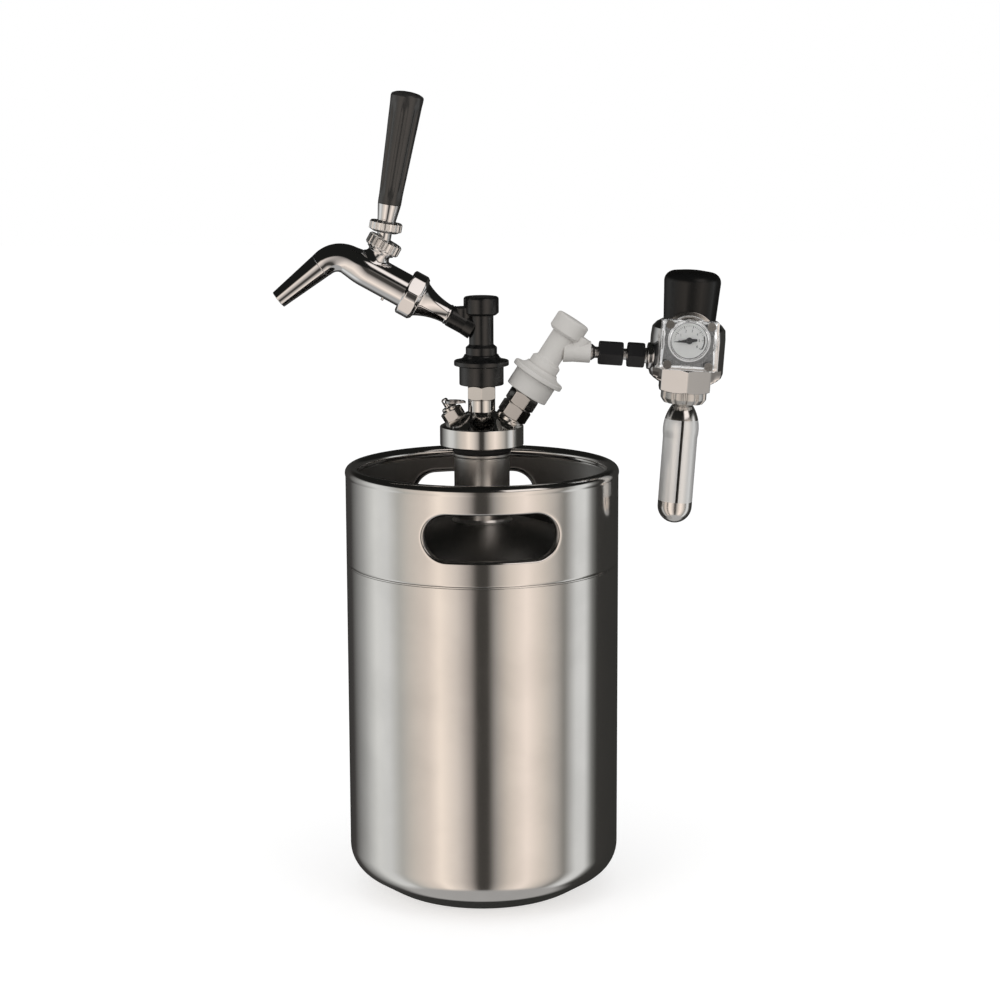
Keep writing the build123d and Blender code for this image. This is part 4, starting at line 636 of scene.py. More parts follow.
# ---------------------------------------------------------------- ball-lock disconnects
# Both disconnects come from the same moulds, black for liquid and grey for gas: a body whose
# arm takes the fitting, a screwed cap, and a collar that is pulled up to let the post go.
black_plastic = Finish("black_moulding", specular_ior_level=0.62)
black_rub = black_plastic.step(black_plastic.grain(130.0, 5.0), 0.45, 0.75)
black_plastic.lay(
    base_color=black_plastic.tint(black_rub, shown(20, 20, 20), shown(32, 31, 30)),
    roughness=0.21 + black_rub * 0.10,
    normal=black_plastic.relief(black_plastic.grain(2600.0, 2.0), 0.006),
)
grey_plastic = Finish("grey_moulding", specular_ior_level=0.35)
grey_cloud = grey_plastic.grain(55.0, 4.0)
grey_plastic.lay(
    base_color=grey_plastic.tint(grey_cloud, shown(212, 209, 205), shown(200, 197, 192)),
    roughness=0.52 + grey_cloud * 0.1,
    normal=grey_plastic.relief(grey_plastic.grain(2200.0, 2.0), 0.008),
)
bright_steel = polished_steel("ball_steel_finish", 0.06, 0.0004)
satin = polished_steel("satin_nickel", 0.27, 0.0012, (0.97, 0.97, 0.97), 1.5)
cap_reach, cap_top, arm_reach, arm_top = 11.2, 56.3, 7.0, 23.0
skirt_reach, shoulder_reach = 9.6, 9.98
collar_grip, collar_flange = 14.15, 17.5


def disconnect(name, post_place, arm_side, body, collar_body, slot, finish):
    """Pieces of one disconnect, with its arm on the side that arm_side points to."""
    place = moved(post_place, 0, 9.2)
    arm_place = leant(moved(place, 0, 33.3), arm_side * 61.0)
    shaft = spun(
        f"{name}_disconnect_shaft", place,
        [(8.4, 0.8), (skirt_reach, 0.8), (skirt_reach, 14.0, 0.2), (12.3, 14.0, 0.2), (12.3, 15.8, 0.2),
         (shoulder_reach, 15.8, 0.2), (shoulder_reach, 24.0, 0.7), (7.8, 25.8, 1.4), (7.8, 46.4), (5.6, 46.4),
         (5.6, 25.3), (2.4, 25.3), (2.4, 22.8), (6.75, 22.8), (6.75, 11.2), (8.4, 8.6)],
        loop=True,
    )
    settle(shaft, body, slot, finish, f"{name}_disconnect_body")
    arm = spun(
        f"{name}_disconnect_arm", arm_place,
        [(2.4, 5.8), (7.6, 5.8), (arm_reach, 12.0, 3.0), (arm_reach, arm_top, 0.8), (3.9, arm_top, 0.4),
         (3.9, 11.0), (2.4, 11.0)],
        loop=True,
    )
    settle(arm, body, slot, finish)
    boss = spun(
        f"{name}_disconnect_boss", moved(place, arm_side * cap_reach, 0),
        [(0, 38.0), (6.2, 38.0), (6.2, 49.8, 0.9), (0, 49.8)], steps=64,
    )
    settle(boss, body, slot, finish)
    cap = spun(
        f"{name}_disconnect_cap", place,
        [(8.45, 44.4, 0.2), (9.3, 44.4, 0.5), (cap_reach, 46.0, 0.9), (cap_reach, cap_top, 1.7), (0, cap_top),
         (0, 47.3), (5.5, 47.3), (5.5, 53.3), (8.45, 53.3)],
        loop=True,
    )
    settle(cap, body, slot, finish, f"{name}_disconnect_cap")
    collar = spun(
        f"{name}_disconnect_ring", place,
        [(10.15, 2.0), (12.6, 0, 0.2), (collar_grip, 0, 1.5), (collar_grip, 12.0, 0.5),
         (collar_flange, 12.5, 0.6), (collar_flange, 15.8, 0.9), (14.95, 15.8, 0.8),
         *bow((14.4, 16.3), (10.9, 19.3), 0.7, 8)[1:],
         (10.3, 19.3, 0.2), (10.3, 16.1, 0.2), (12.6, 16.1), (12.6, 6.2), (10.15, 6.2)],
        loop=True,
    )
    settle(collar, collar_body, slot, finish, f"{name}_disconnect_collar")
    refinish(spring_wire, f"{name}_disconnect_collar_spring", f"{name}_disconnect_plunger_spring")
    refinish(bright_steel, f"{name}_disconnect_lock_balls", f"{name}_disconnect_plunger")
    return arm_place


tap_line = disconnect(
    "liquid", liquid_post_place, -1, "tap", "tap_collar", "black_plastic", black_plastic,
)
gas_line = disconnect("gas", gas_post_place, 1, "regulator", "gas_collar", "grey_plastic", grey_plastic)

# ---------------------------------------------------------------- faucet
# The faucet is chromed brass: a flared adapter in the disconnect's arm, a coupling nut, the
# curved body with the neck for its lever, and a tapered spout pushed on at a fine seam.
tail_reach, barrel_reach, faucet_end = 3.65, 10.9, 12.0
coupling_reach = 15.4
tap_adapter = spun(
    "tap_adapter_flare", tap_line,
    [(2.4, 12.0), (tail_reach, 12.0), (tail_reach, arm_top, 0.2), (6.7, arm_top, 0.7), (6.7, 24.7, 0.6),
     (6.3, 24.7, 0.15), *bow((6.3, 24.9), (11.3, 43.2), 1.1, 14), (11.4, 43.5, 0.2), (faucet_end, 43.5, 0.2),
     (faucet_end, 51.9), (2.4, 51.9)],
    loop=True, steps=128,
)
settle(tap_adapter, "tap", "chrome", chrome, "tap_adapter")


def flatted(reach, height, angle, flat=14.4):
    """Six flats on the outside of the coupling nut."""
    off = (angle + pi / 6) % (pi / 3) - pi / 6
    return min(reach, flat / cos(off)) if reach > flat - 1 else reach, height


coupling_nut = spun(
    "tap_coupling_ring", tap_line,
    [(12.25, 44.0), (13.2, 44.0, 0.5), (coupling_reach, 46.2, 1.2), (coupling_reach, 54.0, 1.0),
     (13.2, 55.2, 0.5), (11.2, 55.2), (11.2, 53.7), (12.25, 53.7)],
    loop=True, steps=144, form=flatted,
)
settle(coupling_nut, "tap", "chrome", chrome, "tap_coupling_nut")

bend_start, bend_radius, bend_turn = 95.0, 14.0, radians(67.2)
bend_run = bend_radius * bend_turn
seam_run = bend_start + bend_run + 3.6
spout_end = seam_run + 34.2


def along_tap(run):
    """Place on the faucet's centre line, run millimetres from the middle of the disconnect."""
    if run <= bend_start:
        return Matrix.Translation((0, 0, run))
    turn = min(bend_turn, (run - bend_start) / bend_radius)
    past = max(0.0, run - bend_start - bend_run)
    centre = Matrix.Translation((-bend_radius, 0, bend_start)) @ Matrix.Rotation(-turn, 4, "Y")
    return centre @ Matrix.Translation((bend_radius, 0, past))


def swept(name, place, corners, way, steps=96, reach_step=2.0, small=0.3):
    """Piece whose half section is carried along a bent centre line."""
    line = []
    for point in rounded(corners, True, small):
        if line and abs(point.y - line[-1].y) > reach_step:
            parts = ceil(abs(point.y - line[-1].y) / reach_step)
            line += [line[-1].lerp(point, i / parts) for i in range(1, parts)]
        line.append(point)
    strips = []
    for step in range(steps):
        angle = 2 * pi * step / steps
        out = Vector((cos(angle), sin(angle), 0))
        strips.append([tuple(way(run) @ (out * reach)) for reach, run in line])
    return skin(name, place, strips, loop=True)


faucet_body = swept(
    "faucet_curved_body", tap_line,
    [(7.6, 52.1), (faucet_end, 52.1), (faucet_end, 53.6), (barrel_reach, 53.6), (barrel_reach, 86.0, 90.0),
     (9.4, bend_start, 90.0), (8.4, bend_start + bend_run, 90.0), (8.1, seam_run, 0.25), (5.3, seam_run),
     (5.3, 97.6), (7.6, bend_start)],
    along_tap, steps=128, reach_step=1.2,
)
settle(faucet_body, "tap", "chrome", chrome, "faucet_body")
faucet_spout = swept(
    "faucet_spout_tube", tap_line,
    [(8.1, seam_run + 0.02, 0.25), (5.75, spout_end, 0.35), (4.6, spout_end, 0.35), (5.2, seam_run + 0.02)],
    along_tap, steps=128,
)
settle(faucet_spout, "tap", "chrome", chrome, "faucet_spout")

pivot_height = 17.2
neck_place = leant(moved(tap_line, 0, 80.7), 90)
lever_place = moved(neck_place, 0, pivot_height)


def saddled(reach, height, angle):
    """Lower rings of the neck sink to the round of the barrel below."""
    sag = sqrt(max(0.0, barrel_reach ** 2 - (reach * sin(angle)) ** 2)) - barrel_reach
    share = max(0.0, min(1.0, (14.2 - height) / 3.3))
    return reach, height + sag * share


faucet_neck = spun(
    "faucet_neck", neck_place,
    [(5.4, 9.2), (9.2, 9.9, 0.2), *bow((9.2, 10.75), (7.4, 12.9), 0.5, 8), (7.4, 13.6), (9.0, 14.6, 0.3),
     (9.0, pivot_height), (5.4, pivot_height)],
    loop=True, form=saddled,
)
settle(faucet_neck, "tap", "chrome", chrome)
vent_pin = spun(
    "faucet_vent_pin", leant(moved(tap_line, 0, 65.2), -90),
    [(0, 9.5), (0.9, 9.5), (0.9, 12.5, 0.4), (0, 12.5)], steps=32,
)
settle(vent_pin, "tap", "chrome", chrome)


def scalloped(radius, count=18, depth=0.75, band=1.6):
    """Form that cuts finger grooves round the outside of a ring, run out at its edges."""
    def form(reach, height, angle):
        if reach < radius - band:
            return reach, height
        groove = max(0.0, cos(count * angle) * 1.15 - 0.15) ** 1.4
        outer = min(1.0, (reach - radius + band) / 1.2)
        return reach - depth * groove * outer, height
    return form


bonnet_reach = 11.3
bonnet_nut = spun(
    "bonnet_nut_ring", lever_place,
    [(9.05, -1.6), (10.3, -1.6, 0.3), (bonnet_reach, -0.6, 0.5), (bonnet_reach, 4.7, 0.5), (10.3, 5.7, 0.4),
     (7.05, 5.7, 0.4), (6.2, 3.15, 0.4), *bow((6.2, 3.05), (6.9, 0.0), -0.18, 4), (9.05, 0.0)],
    loop=True, steps=216, form=scalloped(bonnet_reach),
)
settle(bonnet_nut, "tap", "chrome", satin, "bonnet_nut")

# ---------------------------------------------------------------- lever and handle
# The lever's ball turns in the neck. A scalloped jam ring locks the handle on its thread; the
# handle is a fluted black moulding with a bright ferrule at its foot.
handle_place = leant(lever_place, -18.8)
rod_reach = 3.45
ring_reach, ring_low, ring_top = 10.4, 9.5, 16.6
handle_foot, handle_foot_reach = 27.4, 7.35
flank_end, flank_end_reach, handle_top = 95.0, 10.5, 98.4
flute_low, flute_high = 28.5, 94.0
refinish(chrome, "lever")
lever_ring = spun(
    "lever_jam_ring", handle_place,
    [(rod_reach, ring_low), (7.1, ring_low, 0.4), (ring_reach, 11.1, 0.5), (ring_reach, 15.6, 0.5),
     (9.4, ring_top, 0.4), (rod_reach, ring_top)],
    loop=True, steps=216, form=scalloped(ring_reach),
)
settle(lever_ring, "tap_lever", "chrome", satin, "lever_ring")
ferrule = spun(
    "handle_ferrule_cone", handle_place,
    [(rod_reach, 16.65), (5.9, 16.65, 0.3), (5.9, 17.6, 0.3), (handle_foot_reach, handle_foot, 0.25),
     (rod_reach, handle_foot)],
    loop=True, steps=96,
)
settle(ferrule, "tap_lever", "chrome", chrome, "handle_ferrule")

handle_black = Finish("handle_moulding", specular_ior_level=0.5, coat_roughness=0.12)
draw_marks = handle_black.grain(160.0, 4.0, stretch=(1, 1, 0.06))
handle_rub = handle_black.step(handle_black.grain(70.0, 5.0), 0.5, 0.75)
handle_black.lay(
    base_color=handle_black.tint(draw_marks, shown(28, 28, 28), shown(54, 52, 50)),
    roughness=0.24 + draw_marks * 0.12 + handle_rub * 0.08,
    coat_weight=0.4,
    normal=handle_black.relief(draw_marks, 0.02),
)
handle_taper = (flank_end_reach - handle_foot_reach) / (flank_end - handle_foot)


def on_flank(height):
    return handle_foot_reach + (height - handle_foot) * handle_taper


def fluted(reach, height, angle, flute=3.2, depth=0.8):
    """Eight shallow flutes along the handle, run out towards both ends."""
    if reach < on_flank(height) - 1.5 or height > flank_end:
        return reach, height
    off = (angle + pi / 8) % (pi / 4) - pi / 8
    middle = on_flank(height) + flute - depth
    across = middle * sin(off)
    cut = middle * cos(off) - sqrt(max(0.0, flute ** 2 - across ** 2)) if abs(across) < flute else reach
    run = min(1.0, max(0.0, (height - flute_low) / 14.0), max(0.0, (flute_high - height) / 12.0))
    return reach - max(0.0, reach - cut) * run * run * (3 - 2 * run), height


handle = spun(
    "tap_handle_grip", handle_place,
    [(0, 34.3), (rod_reach, 34.3, 0.2), (rod_reach, handle_foot + 0.02, 0.2),
     (handle_foot_reach, handle_foot + 0.02, 0.3),
     *((on_flank(h), h, 0) for h in (28.2 + 1.1 * i for i in range(59))),
     (10.38, 93.0, 0), (10.48, 96.2, 2.4), *bow((7.2, 97.6), (0.0, handle_top), -0.25, 10)],
    steps=192, form=fluted,
)
settle(handle, "tap_lever", "black_plastic", handle_black, "tap_handle")

# Inside the barrel the lever's finger moves the shuttle and its rubber ring.
refinish(chrome, "faucet_shuttle")
refinish(silicone, "shuttle_o_ring")

# ---------------------------------------------------------------- gas line
# A short bright stem leaves the grey disconnect. Two black-plated nuts, their turned edges worn
# bright, join it to the stem that is screwed into the regulator.
gas_stem = spun(
    "gas_stem_turning", gas_line,
    [(1.8, 12.0), (tail_reach, 12.0), (tail_reach, arm_top, 0.2), (5.2, arm_top, 0.3), (5.2, 23.8, 0.4),
     (tail_reach, 25.8, 0.5), (tail_reach, 36.0), (5.4, 36.0), (5.4, 38.0), (1.8, 38.0)],
    loop=True, steps=64,
)
settle(gas_stem, "regulator", "chrome", satin, "gas_stem")

black_metal = Finish("black_plating", specular_ior_level=0.5)
plating_pits = black_metal.grain(900.0, 4.0)
worn = black_metal.step(black_metal.node("NewGeometry", {}, {}, "Pointiness"), 0.53, 0.60)
worn = worn * black_metal.step(black_metal.grain(300.0, 4.0), 0.30, 0.55)
black_metal.lay(
    base_color=black_metal.tint(worn, (0.010, 0.010, 0.011), (0.50, 0.50, 0.50)),
    metallic=worn * 0.9,
    roughness=0.27 - worn * 0.08 + plating_pits * 0.10,
    normal=black_metal.relief(plating_pits, 0.02),
)


for name, start, length, across, node in (
    ("gas_swivel_hexagon", 28.0, 15.6, 14.3, "gas_swivel_nut"),
    ("regulator_outlet_hexagon", 46.3, 11.0, 15.0, "regulator_outlet_nut"),
):
    nut = hexed(name, moved(gas_line, 0, start), across, 0, length, 1.1, 3.75)
    settle(nut, "regulator", "black_metal", black_metal, node)
outlet_stem = spun(
    "regulator_outlet_turning", gas_line,
    [(1.8, 38.05), (3.6, 38.05), (3.6, 46.0), (4.9, 46.0, 0.2), (4.9, 57.5, 0.3), (5.0, 59.0, 0.3),
     (3.35, 59.2), (3.35, 67.0), (1.8, 67.0)],
    loop=True, steps=64,
)
settle(outlet_stem, "regulator", "chrome", satin, "regulator_outlet_stem")

# ---------------------------------------------------------------- regulator
# The regulator's body is chromed brass with a flat front for the gauge, a bored boss for the
# gas line, and a round room above for the spring, under the black adjusting knob.
body_reach, front_face, port_drop = 23.8, 15.0, 13.3
relief_top, relief_face = -19.15, 9.0   # the part of the front that is milled further back
knob_low, knob_top = 11.5, 43.0
regulator_place = moved(leant(moved(gas_line, 0, 84.2), -90), 0, port_drop)
port_place = leant(moved(regulator_place, 0, -port_drop), -90)
gauge_place = regulator_place @ Matrix.Translation((-1.0, 0, 0)) @ Matrix.Rotation(radians(90), 4, "X")


def faced(piece, distance, broken=0.6):
    """Mill the front of a piece flat, and break the edge."""
    shell = bmesh.new()
    shell.from_mesh(piece.data)
    cut = bmesh.ops.bisect_plane(
        shell, geom=shell.verts[:] + shell.edges[:] + shell.faces[:], plane_co=(0, -distance * MM, 0),
        plane_no=(0, -1, 0), clear_outer=True,
    )
    edges = [item for item in cut["geom_cut"] if isinstance(item, bmesh.types.BMEdge)]
    flat = bmesh.ops.contextual_create(shell, geom=edges)["faces"]
    bmesh.ops.bevel(shell, geom=edges, offset=broken * MM, segments=3, affect="EDGES", profile=0.6)
    bmesh.ops.triangulate(shell, faces=[face for face in shell.faces if len(face.verts) > 4])
    shell.to_mesh(piece.data)
    shell.free()
    piece.data.set_sharp_from_angle(angle=radians(38))


def relieved(reach, height, angle):
    """Front of the body's foot, milled back to let the socket's hexagon stand clear."""
    front = -reach * sin(angle)
    if height > relief_top or front < relief_face:
        return reach, height
    return reach * relief_face / front, height


regulator_body = spun(
    "regulator_body_turning", regulator_place,
    [(0, -28.6), (17.4, -28.6, 0.4), (20.4, -26.7, 1.2), (22.8, -24.5, 1.4), (body_reach, -21.5, 1.6),
     (body_reach, relief_top - 0.05, 0), (body_reach, relief_top + 0.05, 0), (body_reach, 0),
     (23.3, 6.0, 2.0), (20.7, 9.0, 1.2), (17.0, 11.2, 0.6), (13.85, 11.2), (13.85, -2.0), (0, -2.0)],
    steps=144, form=relieved,
)
faced(regulator_body, front_face)
settle(regulator_body, "regulator", "chrome", chrome, "regulator_body")
port_boss = spun(
    "regulator_port_boss", port_place, [(3.5, 12.0), (8.6, 12.0), (8.6, 25.2, 1.0), (3.5, 25.2)],
    loop=True,
)
settle(port_boss, "regulator", "chrome", chrome)

bonnet_ring = spun(
    "regulator_bonnet_ring", regulator_place,
    [(10.7, -0.35), (13.7, -0.35), (13.7, 10.6, 0.3), (12.9, 10.6, 0.3), (12.9, 31.0, 0.4),
     (10.7, 31.0, 0.4)],
    loop=True,
)
settle(bonnet_ring, "regulator", "chrome", chrome, "regulator_bonnet")
refinish(spring_wire, "regulator_spring")
refinish(silicone, "regulator_diaphragm")
refinish(chrome, "regulator_spring_cap", "pierce_pin")

knob_black = Finish("knob_moulding", specular_ior_level=0.4)
knob_speckle = knob_black.grain(1500.0, 5.0)
knob_black.lay(
    base_color=knob_black.tint(knob_speckle, shown(9, 9, 9), shown(22, 22, 22)),
    roughness=0.24 + knob_speckle * 0.16,
    normal=knob_black.relief(knob_speckle, 0.014),
)


def gripped(reach, height, angle, inner=15.5, end=38.0, depth=0.24):
    """Twelve soft flats round the knob's flank for the fingers."""
    if reach < inner or height > end:
        return reach, height
    share = min(1.0, max(0.0, (end - height) / 6.0)) * min(1.0, reach - inner)
    off = (angle + pi / 12) % (pi / 6) - pi / 12
    return reach - share * reach * (1 - cos(pi / 12) / cos(off)) * depth, height


knob = spun(
    "regulator_knob_moulding", regulator_place,
    [(0, 37.5), (13.4, 37.5), (13.4, knob_low, 0.3), (16.75, knob_low, 0.5), (16.8, 13.0, 0), (17.3, 21.0, 0),
     (17.75, 29.0, 0), (18.1, 35.0, 0), *bow((18.1, 35.4), (11.1, 42.0), -2.05, 12),
     *bow((11.0, 42.05), (0, knob_top), -0.24, 8)],
    steps=180, form=gripped,
)
settle(knob, "knob", "black_plastic", knob_black, "regulator_knob")
knob_boss = spun(
    "regulator_knob_boss", regulator_place, [(3.3, 30.4), (5.6, 30.4), (5.6, 37.6), (3.3, 37.6)],
    loop=True, steps=48,
)
settle(knob_boss, "knob", "black_plastic", knob_black)

# ---------------------------------------------------------------- cartridge socket
# The socket is screwed up into the body by its hexagon. The ring below it is milled with twelve
# slots, through which gas escapes while a cartridge is being unscrewed.
socket_across, socket_bore = 31.4, 4.75
socket_low, socket_high, slotted_low = -34.5, -19.3, -42.0
dull_nickel = polished_steel("socket_ring_finish", 0.34, 0.002, (0.70, 0.70, 0.69), 1.5)
socket = hexed(
    "cartridge_socket_hexagon", regulator_place, socket_across, socket_low, socket_high, 1.2, socket_bore,
)
settle(socket, "regulator", "chrome", chrome, "cartridge_socket")


def milled(reach, height, angle, inner=11.4, cutter=1.3):
    """Slots round the ring, a round cutter's width each."""
    if reach < inner:
        return reach, height
    across = 12.4 * sin((angle + pi / 12) % (pi / 6) - pi / 12)
    deep = sqrt(max(0.0, cutter ** 2 - across ** 2)) * min(1.0, (reach - inner) / 0.8)
    return reach - deep, height


socket_ring = spun(
    "cartridge_socket_ring", regulator_place,
    [(socket_bore, socket_low - 0.1), (14.6, socket_low - 0.1, 0.3), (14.6, -39.0, 1.2),
     (12.4, slotted_low, 0.8), (9.0, slotted_low, 0.5), (9.0, -39.6, 0.2), (socket_bore, -39.6)],
    loop=True, steps=288, form=milled,
)
settle(socket_ring, "regulator", "chrome", dull_nickel)

# ---------------------------------------------------------------- pressure gauge
# The gauge sits behind a thick clear block that four screws hold to the body, with a bright
# turned ring behind it. The dial is white enamel with a plain scale, and a black needle. Heights
# are along the gauge's own axis, from the middle of the regulator towards the front.
back_face, plate_face, dial_face, window_face = 15.05, 18.6, 19.2, 24.65
needle_hole, back_ring_reach, dial_reach = 1.1, 17.9, 11.6
window_width, window_height, window_corner, window_middle = 36.0, 31.6, 1.6, -2.8
screw_across, screw_up, screw_reach, screw_head = 13.0, 12.6, 1.5, 2.95
gauge_steel = Finish("gauge_ring_plate", metallic=1.0)
radial = gauge_steel.grain(1.0, 4.0, gauge_steel.round_spot(900.0, 26.0))
gauge_steel.lay(
    base_color=gauge_steel.tint(radial, (0.78, 0.77, 0.76), (0.90, 0.89, 0.88)),
    roughness=0.12 + radial * 0.10,
    normal=gauge_steel.relief(radial, 0.006),
)
plate_steel = Finish("gauge_plate_turning", metallic=1.0)
lathe_marks = plate_steel.grain(1.0, 4.0, plate_steel.round_spot(500.0, 22.0))
plate_steel.lay(
    base_color=plate_steel.tint(lathe_marks, (0.10, 0.10, 0.098), (0.34, 0.335, 0.33)),
    roughness=0.22 + lathe_marks * 0.14,
    normal=plate_steel.relief(lathe_marks, 0.03),
)


def boxed(width, height, corner, middle):
    """Angle and distance, from the gauge's middle, of points round a rounded rectangle."""
    spots = []
    for quarter, (sx, sy) in enumerate(((1, 1), (-1, 1), (-1, -1), (1, -1))):
        cx, cy = sx * (width / 2 - corner), sy * (height / 2 - corner) + middle
        for a in (pi / 2 * (quarter + step / 6) for step in range(7)):
            spots.append(Vector((cx + corner * cos(a), cy + corner * sin(a))))
    filled = []
    for a, b in zip(spots, spots[1:] + spots[:1]):
        parts = max(1, ceil((b - a).length / 1.2))
        filled += [a.lerp(b, i / parts) for i in range(parts)]
    return [(atan2(y, x), hypot(x, y)) for x, y in filled]


window_box = boxed(window_width, window_height, window_corner, window_middle)


def slab(name, section, loop=True):
    """Piece with the same section out to each spot of the window's outline."""
    strips = []
    for angle, reach in window_box:
        line = rounded(section(reach), loop, 0.25)
        strips.append([(r * cos(angle), r * sin(angle), h) for r, h in line])
    return skin(name, gauge_place, strips, loop)


def drilled(piece, place, holes):
    """Drill round holes, each of a radius from one height to another, into a piece at a place."""
    for radius, low, high in holes:
        corners = [(0, low), (radius, low), (radius, high), (0, high)]
        cutter = spun("drill", place, corners, steps=32, small=0.02)
        cut = piece.modifiers.new("hole", "BOOLEAN")
        cut.operation, cut.solver, cut.object = "DIFFERENCE", "EXACT", cutter
        bpy.context.view_layer.update()
        done = piece.evaluated_get(bpy.context.evaluated_depsgraph_get())
        mesh = bpy.data.meshes.new_from_object(done)
        piece.modifiers.clear()
        piece.data = mesh
        bpy.data.objects.remove(cutter)


gauge_ring = spun(
    "gauge_back_ring", gauge_place,
    [(needle_hole, back_face), (back_ring_reach, back_face, 0.3), (back_ring_reach, 18.05, 0.3),
     (15.6, plate_face, 0.2), (15.0, 18.1, 0.2), (14.0, 18.1, 0.2), (13.4, plate_face, 0.2),
     (needle_hole, plate_face)],
    loop=True, steps=180,
)
settle(gauge_ring, "regulator", "chrome", gauge_steel, "gauge_housing")
gauge_plate = slab(
    "gauge_back_plate",
    lambda reach: [(13.2, 15.1), (reach - 2.6, 15.1), (reach - 2.6, 18.58), (13.2, 18.58)],
)
settle(gauge_plate, "regulator", "chrome", plate_steel)
gauge_border = slab(
    "gauge_back_border",
    lambda reach: [(reach - 3.4, 15.1), (reach, 15.1), (reach, 17.5), (reach - 3.0, 18.56),
                   (reach - 3.4, 18.56)],
)
settle(gauge_border, "regulator", "chrome", satin)

window_clear = Finish("clear_acrylic", base_color=(1.0, 1.0, 1.0), transmission_weight=1.0, ior=1.49)
window_clear.lay(roughness=0.012 + window_clear.step(window_clear.grain(140.0), 0.5, 0.8) * 0.02)
window = slab(
    "gauge_window_block",
    lambda reach: [(0, window_face), (reach, window_face, 0.7), (reach, 18.66, 0.3), (12.2, 18.66, 0.2),
                   (12.2, 22.3, 0.4), (0, 22.3)],
    loop=False,
)
for x in (-screw_across, screw_across):
    for y in (window_middle - screw_up, window_middle + screw_up):
        screw_place = gauge_place @ Matrix.Translation((x, y, 0))
        drilled(window, screw_place, ((screw_reach, 18.0, 24.0), (screw_head, 23.15, 25.0)))
window.data.materials.clear()
window.data.set_sharp_from_angle(angle=radians(32))
settle(window, "regulator", "clear_window", window_clear, "gauge_window")
refinish(bright_steel, "gauge_screws")

enamel = Finish("white_enamel", roughness=0.35)
enamel_cloud = enamel.grain(300.0)
enamel.lay(
    base_color=enamel.tint(enamel_cloud, shown(252, 252, 250), shown(240, 240, 237)),
    normal=enamel.relief(enamel_cloud, 0.004),
)
dial = spun(
    "gauge_dial_plate", gauge_place,
    [(0.9, 18.62), (dial_reach, 18.62), (dial_reach, dial_face, 0.2), (0.9, dial_face)],
    loop=True, small=0.1,
)
settle(dial, "regulator", "dial_paint", enamel, "gauge_dial")

print_black = Finish("printing_ink", roughness=0.45)
ink_cloud = print_black.grain(2400.0)
print_black.lay(base_color=print_black.tint(ink_cloud, shown(22, 22, 24), shown(46, 46, 48)))


def printed(shell, outer, inner, start, end, parts=1):
    """Patch of ink on the dial between two distances from the middle and two angles."""
    for index in range(parts):
        a, b = (start + (end - start) * k / parts for k in (index, index + 1))
        quads = []
        for height in (dial_face + 0.01, dial_face + 0.05):
            quads.append([
                shell.verts.new(Vector((reach * cos(t), reach * sin(t), height)) * MM)
                for reach, t in ((inner, a), (outer, a), (outer, b), (inner, b))
            ])
            shell.faces.new(quads[-1])
        for i in range(4):
            shell.faces.new((quads[0][i], quads[0][(i + 1) % 4], quads[1][(i + 1) % 4], quads[1][i]))


ink = bmesh.new()
scale_start, mark_turn = 188, 7.4   # degrees from the gauge's right, and between two marks
for mark in range(31):
    turn = radians(scale_start - mark_turn * mark)
    inner, wide = (7.9, 0.16) if mark % 5 == 0 else (8.7, 0.09)
    printed(ink, 9.7, inner, turn - wide / 9, turn + wide / 9)
printed(ink, 10.0, 9.3, radians(20), radians(-32), 14)
printed(ink, 11.55, 11.2, 0, 2 * pi, 72)
bmesh.ops.remove_doubles(ink, verts=ink.verts, dist=1e-6)
bmesh.ops.recalc_face_normals(ink, faces=ink.faces)
scale_print = as_piece("gauge_scale_print", gauge_place, ink)
scale_print.data.shade_flat()
settle(scale_print, "regulator", "needle_paint", print_black)

for figure in range(7):
    curve = bpy.data.curves.new("figure", "FONT")
    curve.body, curve.size, curve.extrude = str(figure), 2.3 * MM, 0.02 * MM
    curve.align_x, curve.align_y = "CENTER", "CENTER"
    letter = bpy.data.objects.new("figure", curve)
    bpy.context.scene.collection.objects.link(letter)
    bpy.context.view_layer.update()
    shape = bpy.data.meshes.new_from_object(letter.evaluated_get(bpy.context.evaluated_depsgraph_get()))
    bpy.data.objects.remove(letter)
    number = bpy.data.objects.new(f"gauge_figure_{figure}", shape)
    bpy.context.scene.collection.objects.link(number)
    turn = radians(scale_start - mark_turn * 5 * figure)
    spot = gauge_place @ Matrix.Translation((6.3 * cos(turn), 6.3 * sin(turn), dial_face + 0.04))
    spot.translation *= MM
    number.matrix_world = spot
    number.data.materials.clear()
    settle(number, "regulator", "needle_paint", print_black)
refinish(print_black, "gauge_needle")

# ---------------------------------------------------------------- gas cartridge
# The cartridge is a small drawn steel bottle, polished and lacquered, with a threaded neck. A
# pale wrap goes round its flank with a dark line down its front that is painted reflection, and nothing is
# printed on it.
cartridge_reach, cartridge_wall, cartridge_end = 11.0, 1.8, -88.8
shoulder_top, shoulder_low = -13.2, -33.0
bottle_low = cartridge_end + cartridge_reach
cartridge_steel = Finish("cartridge_lacquer", coat_roughness=0.06)
lacquer_cloud = cartridge_steel.grain(45.0, 4.0)
draw_lines = cartridge_steel.grain(320.0, 3.0, stretch=(1, 1, 0.04))
x, y, z = cartridge_steel.axes()
band = cartridge_steel.between(z, -0.0743, -0.0215, 0.0002)
# A thin dark line down the front of the wrap is painted reflection.
painted_reflection_line = cartridge_steel.between(x, -0.0007, 0.0007, 0.0003)
painted_reflection_line = painted_reflection_line * (1 - cartridge_steel.step(y, -0.0010, 0.0010)) * band
wrap = band * (1 - painted_reflection_line)
lacquer = cartridge_steel.tint(lacquer_cloud, (0.92, 0.91, 0.90), (0.86, 0.85, 0.84))
wrapped = cartridge_steel.tint(wrap, lacquer, (0.82, 0.82, 0.81))
